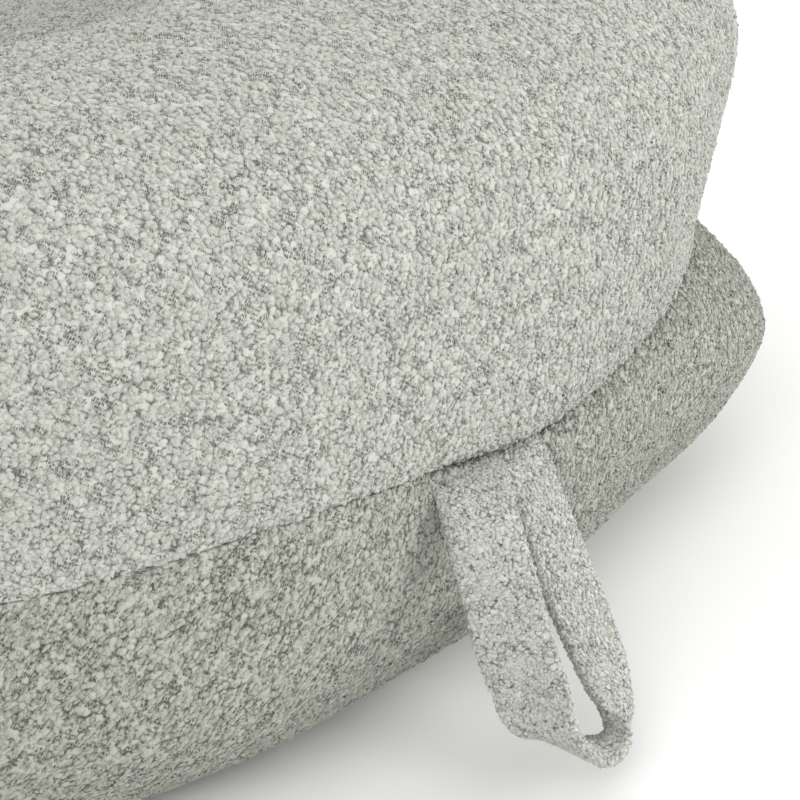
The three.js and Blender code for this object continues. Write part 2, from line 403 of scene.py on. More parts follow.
    def pucker(self, angles: np.ndarray, away: np.ndarray) -> np.ndarray:
        """Tells how far small puckers push the cloth out beside the seam.

        Args:
            angles: degrees from +X towards +Y.
            away: the points' height above or below the seam.

        Returns:
            Millimetres outwards, most in the deep crease to the right of the loop.
        """
        along = np.radians(self.wrapped(angles)) * self.sections[0].seam_radius
        phase = 2 * math.pi * along / self.pucker_pitch
        for sway, reach in self.pucker_sways:
            phase = phase + sway * np.sin(along / reach)
        strength = self.pucker_least + (1 - self.pucker_least) * self.tightness(angles)
        return self.pucker_depth * strength * np.sin(phase) * np.exp(-np.abs(away) / self.pucker_length)

    def lumps(self, angles: np.ndarray, levels: np.ndarray) -> np.ndarray:
        """Tells how far the loose filling pushes a panel out or lets it sink.

        Args:
            angles: degrees from +X towards +Y.
            levels: 0 at the seam and 1 at the fullest line, as for the panel.

        Returns:
            Millimetres outwards, 0 at the seam.
        """
        dice = np.random.default_rng(self.lump_seed)
        turn = np.radians(angles)
        found = np.zeros(len(turn))
        for waves in self.lump_waves:
            phase, lean = dice.uniform(0, 2 * math.pi), dice.uniform(-self.lump_lean, self.lump_lean)
            depth = self.lump_depth * math.sqrt(self.lump_waves[0] / waves)
            roll = np.cos(lean + dice.uniform(*self.lump_roll) * levels)
            found += depth * np.sin(waves * turn + phase + lean * levels) * roll
        deeper = self.lump_sides + self.lump_back * np.sin(turn)
        return found * deeper * smooth_step(levels / self.lump_start)

    def upper_point(self, angles: np.ndarray, levels: np.ndarray) -> tuple[np.ndarray, np.ndarray]:
        """Gives the upper panel's outer surface.

        Args:
            angles: degrees from +X towards +Y.
            levels: 0 at the seam, 1 at the fullest line, 2 at the crest, 3 at the hollow's floor and 4 at its
                centre.

        Returns:
            Radius and height of each point.
        """
        row = self.at(angles)
        seam_height = row["seam_height"] + self.seam_gap
        widest = row["seam_radius"] + row["upper_reach"]
        crest = row["seam_radius"] - self.rim_inset
        floor = crest - self.hollow_slope_width

        rise = np.clip(levels, 0, 1) * math.pi / 2
        swell = np.sin(rise) ** self.fullness(angles, self.crease_fullness[0])
        radius = row["seam_radius"] + row["upper_reach"] * swell
        height = seam_height + (self.upper_widest_height - seam_height) * (1 - np.cos(rise))
        away = height - seam_height
        radius = radius + self.pucker(angles, away)
        height = height + self.strap_opening(angles, radius, away)

        crown = np.clip(levels - 1, 0, 1) * math.pi / 2
        radius = radius - (widest - crest) * (1 - np.cos(crown))
        height = height + (row["rim_height"] - self.upper_widest_height) * np.sin(crown)

        slope = np.clip(levels - 2, 0, 1)
        radius = radius - self.hollow_slope_width * slope
        sunk = 0.5 - 0.5 * np.cos(math.pi * slope)
        height = height - (row["rim_height"] - self.hollow_floor_height) * sunk

        inward = np.clip(levels - 3, 0, 1)
        radius = radius - floor * inward
        dip = self.hollow_floor_height - self.hollow_centre_height
        lump = self.lumps(angles, levels) * (1 - smooth_step(inward))
        radius = radius + lump * np.cos(crown)
        return radius, height - dip * smooth_step(inward) + lump * np.sin(crown)

    def lower_point(self, angles: np.ndarray, levels: np.ndarray) -> tuple[np.ndarray, np.ndarray]:
        """Gives the lower panel's outer surface.

        Args:
            angles: degrees from +X towards +Y.
            levels: 0 at the seam, 1 at the fullest line, 2 at the edge of the resting patch.

        Returns:
            Radius and height of each point.
        """
        row = self.at(angles)
        widest = self.lower_widest_height - self.crease_sag * self.tightness(angles) ** 2
        rise = row["seam_height"] - widest
        fall = np.clip(levels, 0, 1) * math.pi / 2
        swell = np.sin(fall) ** self.fullness(angles, self.crease_fullness[1])
        radius = row["seam_radius"] + row["lower_reach"] * swell
        height = widest + rise * np.cos(fall)
        away = row["seam_height"] - height
        radius = radius + self.pucker(angles, away)
        radius = radius - self.pocket(angles, radius, away)
        height = height - self.strap_opening(angles, radius, away)

        under = np.clip(levels - 1, 0, 1) * math.pi / 2
        radius = radius - self.crease_tuck * self.tightness(angles) ** 2 * np.sin(2 * under)
        radius = radius - self.foot_inset * (1 - np.cos(under)) + self.lumps(angles, levels) * np.cos(under)
        return radius, height - widest * np.sin(under)


@dataclass(frozen=True)
class PhotoView:
    """Where the photograph was taken from, in the bag's frame, in millimetres."""

    place: tuple[float, float, float] = (-1111.5, -1445.2, 787.5)
    turn: float = 52.0  # degrees, from looking along +Y towards +X
    tilt: float = -23.5  # degrees below the horizon
    lens: float = 117.0
    sensor: float = 36.0
    clip: tuple[float, float] = (0.05, 50.0)  # in metres: what is nearer or farther isn't seen
    full_past: float = 0.02  # the pile goes on this far past the picture's edge, as a share of half its width
    fade_past: float = 0.1
    full_turned: float = 0.14  # cosine, past the outline
    fade_turned: float = 0.2

    def axes(self) -> tuple[Vector, Vector, Vector]:
        """Gives the camera's right, up and forward directions."""
        turn, tilt = math.radians(self.turn), math.radians(self.tilt)
        forward = Vector((math.sin(turn) * math.cos(tilt), math.cos(turn) * math.cos(tilt), math.sin(tilt)))
        right = forward.cross(Vector((0, 0, 1))).normalized()
        return right, right.cross(forward), forward

    def coverage(self, places: np.ndarray, normals: np.ndarray) -> np.ndarray:
        """Tells how much of the pile is made where the photograph shows the cloth.

        Args:
            places: points in millimetres, one a row.
            normals: the surface's direction at each point.

        Returns:
            1 in the picture on what faces the camera, fading to 0 past the picture's edge and on what faces
            away.
        """
        right, up, forward = (np.array(axis) for axis in self.axes())
        away = places - np.array(self.place)
        depth = away @ forward
        half = self.sensor / 2 / self.lens * depth
        past = np.maximum(np.abs(away @ right), np.abs(away @ up)) / half - 1
        inside = smooth_step(1 - (past - self.full_past) / self.fade_past) * (depth > 0)
        facing = -(normals * away).sum(1) / np.linalg.norm(away, axis=1)
        return inside * smooth_step(1 + (facing + self.full_turned) / self.fade_turned)

    def add_camera(self) -> bpy.types.Object:
        """Adds the scene's camera.

        Returns:
            The camera's object.
        """
        data = bpy.data.cameras.new("camera")
        data.lens, data.sensor_width = self.lens, self.sensor
        data.clip_start, data.clip_end = self.clip
        camera = bpy.data.objects.new("camera", data)
        bpy.context.scene.collection.objects.link(camera)
        right, up, forward = self.axes()
        turned = Matrix((right, up, -forward)).transposed().to_4x4()
        camera.matrix_world = Matrix.Translation(Vector(self.place) * MM) @ turned
        bpy.context.scene.camera = camera
        return camera


class Panel(Enum):
    """The two filled panels, by their CAD node."""

    UPPER = "upper_panel"
    LOWER = "lower_panel"


@dataclass(frozen=True)
class KnobCourse:
    """One size of yarn knob and how closely it is set, in millimetres."""

    name: str
    across: float
    spacing: float
    seed: int
    crowding: float = 6  # how many points are tried for a square of one spacing
    spin: float = math.pi  # how far its long side may turn away from the lie of the pile, in radians
    tilt: float = 0.5  # how far it may lean over, in radians
    shortest: tuple[float, float] = (0.75, 0.6)  # its long and short sides, as shares of its width
    longest: tuple[float, float] = (1.4, 1.05)
    flatness: float = 0.65  # its height as a share of its width
    height_spread: tuple[float, float] = (0.75, 1.25)  # the least and the most of that height
    standing: float = -0.08  # how far its middle is above the ground, as a share of its width


@dataclass(frozen=True)
class Boucle:
    """Boucle: a curled acrylic yarn knitted into a dark ground.

    The eye sees pale knobs and thin dark gaps, which painted shade darkens further in the crevices, at the
    knobs' roots and in the ribs by the seam. Brushing raised the yarn's curls into knobs of uneven size. It
    has no gloss.
    Sizes are in millimetres, and a pair of them is along and across the grain. A band is where a pattern
    starts to show and where it shows fully, in that pattern's own values.
    """

    name: str
    knob: str = "#cfd1c8"
    # the yarn's darker tone, which its darker knobs take, and the colour of its painted shade round curls and
    # on low drawn knobs
    shade: str = "#bfc1b8"
    thread: str = "#b0b1a8"
    # the knit's dark ground, also laid over the yarn as painted shade and shadow
    ground: str = "#5a5b54"
    fleck: str = "#cfceb6"
    fleck_pitch: float = 13
    fleck_band: tuple[float, float] = (0.55, 0.8)
    fleck_most: float = 0.3
    courses: tuple[KnobCourse, ...] = (KnobCourse("large", 6.6, 7.4, 3), KnobCourse("small", 5.2, 3.6, 11))
    grain: float = 90.0  # degrees from level towards up the cloth: the way that the pile lies
    bareness: float = 0.3  # how much of the pile is missing in the barest streaks
    streak_pitch: float = 20
    streak_size: tuple[float, float] = (26, 11)
    streak_band: tuple[float, float] = (0.47, 0.63)
    knob_relief: float = 1.6
    knob_faces: int = 20
    most_triangles: int = 190000  # in one piece
    yarn_band: tuple[float, float] = (-0.1, 0.45)
    tone_spread: float = 0.2  # how much paler some knobs are than others
    curl_share: float = 0.6  # how far the knobs are curled out of round, as a share of their width
    curl_size: float = 0.7
    curl_pitch: float = 2.0
    curl_shade: float = 0.7  # painted shade: how much darker the yarn is round each curl, where its bumps dip
    fibre_pitch: float = 1.0
    crevice_size: tuple[float, float] = (9, 5)
    crevice_band: tuple[float, float] = (0.48, 0.62)
    crevice_height: float = 0.22  # how high up a knob the painted shade of a crevice reaches, as a share of its width
    # painted shade in the crevices: how dark they are on the knobs' roots and on the ground
    crevice_shade: float = 0.62
    thin_pitch: float = 9  # the pile is thin in patches of this size, and the knit shows through
    thin_band: tuple[float, float] = (0.525, 0.595)
    thin_dark: float = 0.82
    knit_turn: float = 55.0  # the knit's stitches lean this far the same way as the grain
    knit_pitch: tuple[float, float] = (2.5, 1.25)
    knit_unevenness: float = 0.45
    stitch_band: tuple[float, float] = (0.45, 0.3)
    thread_band: tuple[float, float] = (0.22, 0.42)
    relief: float = 1.7
    drawn_below: tuple[float, float] = (0.95, 0.7)  # the knobs are only drawn where less of the pile is made
    drawn_pitch: float = 4.2
    drawn_domes: tuple[tuple[float, float], ...] = ((1.0, 0.78), (0.62, 0.72))  # size, and reach in its cell
    drawn_curl: float = 0.5
    drawn_bareness: float = 0.6  # as a share of the bareness
    drawn_fill: float = 0.1  # how much fuller the knobs are drawn where none are made
    drawn_cover: tuple[float, float] = (0.8, 1.1)
    # painted shade on the drawn knobs: from the shade colour where they are low to the knob colour on top
    drawn_light: tuple[float, float] = (0.45, 1.15)
    drawn_thread: float = 0.92
    # painted shade in the crevices, where the knobs are only drawn
    drawn_crevice_shade: float = 0.35
    drawn_shadow: float = 0.3  # how much darker, for the shadows that made knobs throw on each other
    drawn_under: float = 0.85  # how much of the drawing shows under made knobs
    rib_pitch: float = 6.5
    rib_band: tuple[float, float] = (0.1, 0.8)
    # painted shade in the ribs' folds
    rib_dark: float = 0.9
    stir_pitch: float = 14
    stir_depth: float = 14  # radians: a soft wandering phase that makes the ribs uneven

    @staticmethod
    def scaled(tree: bpy.types.NodeTree, place: bpy.types.NodeSocket, pitch: float) -> bpy.types.NodeSocket:
        """Scales a place in metres so that one unit is one pitch."""
        size = {0: place, "Scale": 1 / (pitch * MM)}
        return add_node(tree, "ShaderNodeVectorMath", {"operation": "SCALE"}, size).outputs[0]

    @staticmethod
    def read(tree: bpy.types.NodeTree, name: str, kind: str = "FLOAT") -> bpy.types.NodeSocket:
        """Reads one of the cloth's named attributes: a number in a material, or any kind in a modifier."""
        if isinstance(tree, bpy.types.ShaderNodeTree):
            return add_node(tree, "ShaderNodeAttribute", {"attribute_name": name}).outputs["Fac"]
        return add_node(
            tree, "GeometryNodeInputNamedAttribute", {"data_type": kind}, {"Name": name}
        ).outputs[0]

    def on_cloth(
        self, tree: bpy.types.NodeTree, turn: float, pitches: tuple[float, float]
    ) -> bpy.types.NodeSocket:
        """Gives a place on the flat cloth, where one unit is one pitch.

        Args:
            tree: a material's or a modifier's node tree.
            turn: the first direction, in degrees from level towards up the cloth.
            pitches: in millimetres, that way and across it.

        Returns:
            The place, as a vector.
        """
        flat = {0: self.read(tree, "along"), 1: self.read(tree, "rise")}
        spot = add_node(tree, "ShaderNodeCombineXYZ", {}, flat).outputs[0]
        angle = math.radians(turn)
        ways = ((math.cos(angle), math.sin(angle)), (-math.sin(angle), math.cos(angle)))
        parts = {}
        for side, (way, pitch) in enumerate(zip(ways, pitches)):
            step = {0: spot, 1: (way[0] / (pitch * MM), way[1] / (pitch * MM), 0)}
            parts[side] = add_node(
                tree, "ShaderNodeVectorMath", {"operation": "DOT_PRODUCT"}, step
            ).outputs["Value"]
        return add_node(tree, "ShaderNodeCombineXYZ", {}, parts).outputs[0]

    def streaks(self, tree: bpy.types.NodeTree, place: bpy.types.NodeSocket) -> bpy.types.NodeSocket:
        """Draws where the pile is thin. Made pile has longer streaks, along its grain.

        Args:
            tree: a material's or a modifier's node tree.
            place: the place on the bag.

        Returns:
            From 0, where the pile is full, to 1, where it is barest.
        """
        short = self.scaled(tree, place, self.streak_pitch)
        long = self.on_cloth(tree, self.grain, self.streak_size)
        found = {0: self.read(tree, "pile")}
        for number, spot in ((2, short), (3, long)):
            cloudy = {"Vector": spot, "Scale": 1.0, "Detail": 4.0, "Roughness": 0.7}
            found[number] = add_node(tree, "ShaderNodeTexNoise", {}, cloudy).outputs[0]
        noise = add_node(tree, "ShaderNodeMix", {"data_type": "FLOAT"}, found).outputs[0]
        low, high = self.streak_band
        return add_node(
            tree, "ShaderNodeMapRange", {"interpolation_type": "SMOOTHSTEP"}, {0: noise, 1: low, 2: high}
        ).outputs[0]

    def crevices(self, tree: bpy.types.NodeTree) -> bpy.types.NodeSocket:
        """Draws where the gaps between knobs are deep: from 0 to 1, in short lines along the grain."""
        lines = {"Vector": self.on_cloth(tree, self.grain, self.crevice_size), "Scale": 1.0, "Detail": 2.0}
        noise = add_node(tree, "ShaderNodeTexNoise", {"noise_dimensions": "2D"}, lines).outputs[0]
        low, high = self.crevice_band
        return add_node(tree, "ShaderNodeMapRange", {}, {0: noise, 1: low, 2: high}).outputs[0]

    def stitches(self, tree: bpy.types.NodeTree) -> bpy.types.NodeSocket:
        """Draws the knit's stitches as the distance from each one's middle, in leaning rows."""
        spot = self.on_cloth(tree, self.knit_turn, self.knit_pitch)
        return add_node(
            tree,
            "ShaderNodeTexVoronoi",
            {"feature": "F1", "voronoi_dimensions": "2D"},
            {"Vector": spot, "Scale": 1.0, "Randomness": self.knit_unevenness},
        ).outputs[0]

    def fibres(self, tree: bpy.types.NodeTree, place: bpy.types.NodeSocket) -> bpy.types.NodeSocket:
        """Draws the yarn's small curls, from 0 to 1."""
        spot = self.scaled(tree, place, self.fibre_pitch)
        return add_node(
            tree, "ShaderNodeTexNoise", {}, {"Vector": spot, "Scale": 1.0, "Detail": 2.0, "Roughness": 0.6}
        ).outputs[0]

    def patches(
        self, tree: bpy.types.NodeTree, place: bpy.types.NodeSocket, pitch: float, detail: float
    ) -> bpy.types.NodeSocket:
        """Draws soft uneven patches.

        Args:
            tree: a material's node tree.
            place: the place on the bag.
            pitch: their size, in millimetres.
            detail: how many finer sizes are laid over them.

        Returns:
            From 0 to 1, mostly near the middle.
        """
        cloudy = {"Vector": self.scaled(tree, place, pitch), "Scale": 1.0, "Detail": detail}
        return add_node(tree, "ShaderNodeTexNoise", {}, cloudy).outputs[0]

    @staticmethod
    def layered(
        tree: bpy.types.NodeTree, first: object, *layers: tuple[bpy.types.NodeSocket, object]
    ) -> bpy.types.NodeSocket:
        """Lays colours over one another, each a socket or a hex value.

        Args:
            tree: a material's node tree.
            first: the lowest colour.
            layers: for each colour above it, how much of it shows, from 0 to 1, and the colour.

        Returns:
            The colour that the eye sees.
        """
        seen = linear(first) if isinstance(first, str) else first
        for share, colour in layers:
            over = linear(colour) if isinstance(colour, str) else colour
            ends = {0: share, 6: seen, 7: over}
            seen = add_node(tree, "ShaderNodeMix", {"data_type": "RGBA"}, ends).outputs[2]
        return seen

    def yarn(
        self, tree: bpy.types.NodeTree, place: bpy.types.NodeSocket, light: bpy.types.NodeSocket
    ) -> bpy.types.NodeSocket:
        """Colours the yarn, a little yellower in soft patches.

        Args:
            tree: a material's node tree.
            place: the place on the bag.
            light: from 0, in the yarn's shade, to 1, where it is palest.

        Returns:
            The colour.
        """
        low, high = self.fleck_band
        flecks = self.patches(tree, place, self.fleck_pitch, 1.0)
        ends = {0: flecks, 1: low, 2: high, 3: 0.0, 4: self.fleck_most}
        yellow = add_node(tree, "ShaderNodeMapRange", {}, ends).outputs[0]
        return self.layered(tree, self.shade, (light, self.knob), (yellow, self.fleck))

    @staticmethod
    def finished(
        tree: bpy.types.NodeTree, colour: bpy.types.NodeSocket, height: bpy.types.NodeSocket, relief: float
    ) -> None:
        """Ends a cloth material with its shader: dull yarn, whose fuzz lights up a little at grazing angles.

        Args:
            tree: the material's node tree.
            colour: the cloth's colour.
            height: its height, where 1 is one relief.
            relief: in millimetres.
        """
        bump = add_node(
            tree, "ShaderNodeBump", {}, {"Strength": 1.0, "Distance": relief * MM, "Height": height}
        ).outputs[0]
        shader = add_node(
            tree,
            "ShaderNodeBsdfPrincipled",
            {},
            {
                "Base Color": colour,
                "Roughness": 0.95,
                "Specular IOR Level": 0.15,
                "Sheen Weight": 0.15,
                "Sheen Roughness": 0.6,
                "Normal": bump,
            },
        )
        add_node(tree, "ShaderNodeOutputMaterial", {}, {0: shader.outputs[0]})

    def new_tree(self, suffix: str) -> tuple[bpy.types.Material, bpy.types.NodeTree, bpy.types.NodeSocket]:
        """Starts a material.

        Args:
            suffix: what its name ends with.

        Returns:
            The material, its empty tree, and the place on the bag.
        """
        material = bpy.data.materials.new(self.name + suffix)
        material.use_nodes = True
        tree = material.node_tree
        tree.nodes.clear()
        place = add_node(tree, "ShaderNodeTexCoord").outputs["Object"]
        return material, tree, place

    def gaps(self, tree: bpy.types.NodeTree) -> bpy.types.NodeSocket:
        """Paints shade on a made knob near its root, where it stands in a deep crevice: tells how dark it is
        there.
        """
        root = {0: self.read(tree, "lift"), 1: 0.0, 2: self.crevice_height, 3: self.crevice_shade, 4: 0.0}
        low = add_node(tree, "ShaderNodeMapRange", {}, root).outputs[0]
        both = {0: low, 1: self.crevices(tree)}
        return add_node(tree, "ShaderNodeMath", {"operation": "MULTIPLY"}, both).outputs[0]

    def ticks(self, tree: bpy.types.NodeTree, place: bpy.types.NodeSocket) -> bpy.types.NodeSocket:
        """Draws the knit's stitches where they show through thin pile.

        Args:
            tree: a material's node tree.
            place: the place on the bag.

        Returns:
            How dark they are, from 0 to 1.
        """
        low, high = self.thin_band
        thin = self.patches(tree, place, self.thin_pitch, 3.0)
        ends = {0: thin, 1: low, 2: high, 3: 0.0, 4: self.thin_dark}
        worn = add_node(tree, "ShaderNodeMapRange", {}, ends).outputs[0]
        low, high = self.stitch_band
        ends = {0: self.stitches(tree), 1: low, 2: high}
        stitch = add_node(tree, "ShaderNodeMapRange", {}, ends).outputs[0]
        return add_node(tree, "ShaderNodeMath", {"operation": "MULTIPLY"}, {0: stitch, 1: worn}).outputs[0]

    def knob_material(self) -> bpy.types.Material:
        """Makes the raised knobs' material: pale curled yarn with painted shade round its curls and at its
        roots in the crevices, and dark where the knit shows.

        Returns:
            A material that reads the "tone", "lift", "along" and "rise" attributes.
        """
        material, tree, place = self.new_tree("_knobs")
        cells = {"Vector": self.scaled(tree, place, self.curl_pitch), "Scale": 1.0}
        curls = add_node(tree, "ShaderNodeTexVoronoi", {"feature": "F1"}, cells).outputs[0]
        # the curls' bumps, with painted shade where they dip
        fine = add_node(
            tree,
            "ShaderNodeMath",
            {"operation": "MULTIPLY_ADD"},
            {0: curls, 1: -self.curl_shade, 2: self.fibres(tree, place)},
        ).outputs[0]
        toned = {0: self.read(tree, "tone"), 1: self.tone_spread, 2: fine}
        bright = add_node(tree, "ShaderNodeMath", {"operation": "MULTIPLY_ADD"}, toned).outputs[0]
        low, high = self.yarn_band
        light = add_node(tree, "ShaderNodeMapRange", {}, {0: bright, 1: low, 2: high}).outputs[0]
        # painted shade at the knobs' roots in the crevices, or the knit's dark stitches, whichever is darker
        dark = {0: self.gaps(tree), 1: self.ticks(tree, place)}
        shade_and_stitches = add_node(tree, "ShaderNodeMath", {"operation": "MAXIMUM"}, dark).outputs[0]
        colour = self.layered(tree, self.yarn(tree, place, light), (shade_and_stitches, self.ground))
        self.finished(tree, colour, fine, self.knob_relief)
        return material

    def domes(self, tree: bpy.types.NodeTree, place: bpy.types.NodeSocket) -> bpy.types.NodeSocket:
        """Draws round knobs of each size.

        Args:
            tree: a material's node tree.
            place: the place on the bag.

        Returns:
            Their height, 1 on top of the largest.
        """
        tops = {}
        for number, (size, reach) in enumerate(self.drawn_domes):
            spot = self.scaled(tree, place, self.drawn_pitch * size)
            cell = add_node(tree, "ShaderNodeTexVoronoi", {"feature": "F1"}, {"Vector": spot, "Scale": 1.0})
            share = add_node(tree, "ShaderNodeMath", {"operation": "DIVIDE"}, {0: cell.outputs[0], 1: reach})
            square = add_node(tree, "ShaderNodeMath", {"operation": "POWER"}, {0: share.outputs[0], 1: 2.0})
            sides = {0: 1.0, 1: square.outputs[0]}
            rest = add_node(tree, "ShaderNodeMath", {"operation": "SUBTRACT", "use_clamp": True}, sides)
            dome = add_node(tree, "ShaderNodeMath", {"operation": "SQRT"}, {0: rest.outputs[0]})
            top = add_node(tree, "ShaderNodeMath", {"operation": "MULTIPLY"}, {0: dome.outputs[0], 1: size})
            tops[number] = top.outputs[0]
        return add_node(tree, "ShaderNodeMath", {"operation": "MAXIMUM"}, tops).outputs[0]

    def knit(self, tree: bpy.types.NodeTree, drawn: bpy.types.NodeSocket) -> bpy.types.NodeSocket:
        """Colours the knitted ground, whose pale threads show most where the knobs are only drawn, with
        painted shade in the crevices.

        Args:
            tree: a material's node tree.
            drawn: 1 where the knobs are only drawn, and 0 where they are made.

        Returns:
            The colour.
        """
        low, high = self.thread_band
        ends = {0: self.stitches(tree), 1: low, 2: high}
        between = add_node(tree, "ShaderNodeMapRange", {}, ends).outputs[0]
        ends = {0: drawn, 2: between, 3: self.drawn_thread}
        plain = add_node(tree, "ShaderNodeMix", {"data_type": "FLOAT"}, ends).outputs[0]
        # painted shade in the crevices, which hides the pale threads there
        ends = {0: drawn, 1: 0.0, 2: 1.0, 3: self.crevice_shade, 4: self.drawn_crevice_shade}
        depth = add_node(tree, "ShaderNodeMapRange", {}, ends).outputs[0]
        both = {0: self.crevices(tree), 1: depth}
        deep = add_node(tree, "ShaderNodeMath", {"operation": "MULTIPLY"}, both).outputs[0]
        return self.layered(tree, self.ground, (plain, self.thread), (deep, self.ground))

    def ribs(self, tree: bpy.types.NodeTree, place: bpy.types.NodeSocket) -> bpy.types.NodeSocket:
        """Draws painted shade in the uneven ribs of the cloth where the seam is drawn in tightest.

        Args:
            tree: a material's node tree.
            place: the place on the bag.

        Returns:
            How dark they are, from 0 to 1.
        """
        uneven = {0: self.patches(tree, place, self.stir_pitch, 2.0), 1: self.stir_depth}
        stir = add_node(tree, "ShaderNodeMath", {"operation": "MULTIPLY"}, uneven).outputs[0]
        turns = {0: self.read(tree, "along"), 1: 2 * math.pi / (self.rib_pitch * MM), 2: stir}
        bent = add_node(tree, "ShaderNodeMath", {"operation": "MULTIPLY_ADD"}, turns).outputs[0]
        wave = add_node(tree, "ShaderNodeMath", {"operation": "SINE"}, {0: bent}).outputs[0]
        low, high = self.rib_band
        ends = {0: wave, 1: low, 2: high, 3: 0.0, 4: self.rib_dark}
        both = {0: add_node(tree, "ShaderNodeMapRange", {}, ends).outputs[0], 1: self.read(tree, "tight")}
        return add_node(tree, "ShaderNodeMath", {"operation": "MULTIPLY"}, both).outputs[0]

    def ground_material(self) -> bpy.types.Material:
        """Makes the cloth's own material: dark ground with pale threads, and knobs drawn where none are made,
        with painted shade and shadow on them, in the crevices and in the ribs.

        Returns:
            A material that reads the "pile", "tight", "along" and "rise" attributes.
        """
        material, tree, place = self.new_tree("_cloth")
        full, none = self.drawn_below
        made = {0: self.read(tree, "pile"), 1: none, 2: full, 3: 1.0, 4: 0.0}
        drawn = add_node(tree, "ShaderNodeMapRange", {}, made).outputs[0]
        curled = add_node(
            tree,
            "ShaderNodeMath",
            {"operation": "MULTIPLY_ADD"},
            {0: self.fibres(tree, place), 1: self.drawn_curl, 2: self.domes(tree, place)},
        ).outputs[0]
        bare = add_node(
            tree,
            "ShaderNodeMath",
            {"operation": "MULTIPLY_ADD"},
            {0: self.streaks(tree, place), 1: -self.bareness * self.drawn_bareness, 2: curled},
        ).outputs[0]
        more = {0: bare, 1: self.drawn_fill}
        fuller = add_node(tree, "ShaderNodeMath", {"operation": "ADD"}, more).outputs[0]
        low, high = self.drawn_cover
        covered = add_node(tree, "ShaderNodeMapRange", {}, {0: fuller, 1: low, 2: high}).outputs[0]
        # painted shade: the drawn knobs are darker where they are low
        low, high = self.drawn_light
        light = add_node(tree, "ShaderNodeMapRange", {}, {0: curled, 1: low, 2: high}).outputs[0]
        ends = {0: drawn, 1: 0.0, 2: 1.0, 3: self.drawn_under, 4: 1.0}
        seen = add_node(tree, "ShaderNodeMapRange", {}, ends).outputs[0]
        shown = add_node(tree, "ShaderNodeMath", {"operation": "MULTIPLY"}, {0: covered, 1: seen}).outputs[0]
        dim = {0: drawn, 1: self.drawn_shadow}
        shadow = add_node(tree, "ShaderNodeMath", {"operation": "MULTIPLY"}, dim).outputs[0]
        colour = self.layered(
            tree,
            self.knit(tree, drawn),
            (shown, self.yarn(tree, place, light)),
            (shadow, self.ground),
            # painted shade in the ribs
            (self.ribs(tree, place), self.ground),
        )
        self.finished(tree, colour, curled, self.relief)
        return material

    def scatter(self, piece: bpy.types.Object, course: KnobCourse, share: float = 1.0) -> bpy.types.Object:
        """Sets one course of knobs on a piece, closer where its "pile" attribute is high.

        Args:
            piece: the cloth that the knobs stand on.
            course: the knobs' size and spacing.
            share: a scale on both, for a finer cloth.

        Returns:
            The knobs, as one mesh in a piece of their own.
        """
        clear_selection()
        bpy.ops.mesh.primitive_ico_sphere_add(
            subdivisions=1, radius=course.across * share * MM / 2, location=(0, 0, 0)
        )
        knob = bpy.context.active_object
        knobs = copy_of(piece, piece.name.replace("cloth", course.name + "_knobs"))
        work_on(knobs)
        modifier = knobs.modifiers.new("scatter_knobs", "NODES")
        modifier.node_group = KnobScatter(self, course, share).build(knob)
        bpy.ops.object.modifier_apply(modifier=modifier.name)
        bpy.data.objects.remove(knob)
        return knobs

    def divided(self, knobs: bpy.types.Object) -> list[bpy.types.Object]:
        """Divides one course of knobs into pieces, round the bag, if it is too large for one.

        Args:
            knobs: all the knobs of one course, each with the same number of faces.

        Returns:
            The pieces, the first of which is the given one.
        """
        count = triangle_count(knobs)
        parts = math.ceil(count / self.most_triangles)
        if parts == 1:
            return [knobs]
        places = places_of(knobs)
        corners = np.zeros(count * 3, int)
        knobs.data.loops.foreach_get("vertex_index", corners)
        faces = corners.reshape(-1, self.knob_faces, 3)[:, 0, 0]
        order = np.argsort(np.argsort(np.arctan2(places[faces, 1], places[faces, 0])))
        share = np.repeat(order * parts // len(order), self.knob_faces)
        found = [knobs] + [copy_of(knobs, "%s_%d" % (knobs.name, part + 1)) for part in range(1, parts)]
        for part, piece in enumerate(found):
            select_only(piece, MeshPart.FACE, share != part)
            bpy.ops.mesh.delete(type="FACE")
            bpy.ops.object.mode_set(mode="OBJECT")
        return found

    def dress(self, piece: bpy.types.Object, slot: str, share: float = 1.0) -> None:
        """Gives a piece its cloth and its knobs, which ride with it.

        Args:
            piece: a finished form with a "pile" attribute.
            slot: the record's material slot, which is not used.
            share: a scale on the knobs.
        """
        knob_material = self.knob_material()
        pieces = []
        for course in self.courses:
            pieces += [(part, knob_material) for part in self.divided(self.scatter(piece, course, share))]
        pieces.append((piece, self.ground_material()))
        for part, material in pieces:
            part.data.materials.clear()
            part.data.materials.append(material)
            work_on(part)
            bpy.ops.object.shade_smooth()
            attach(part, "root")
            LOG.info("%s: %d triangles", part.name, triangle_count(part))


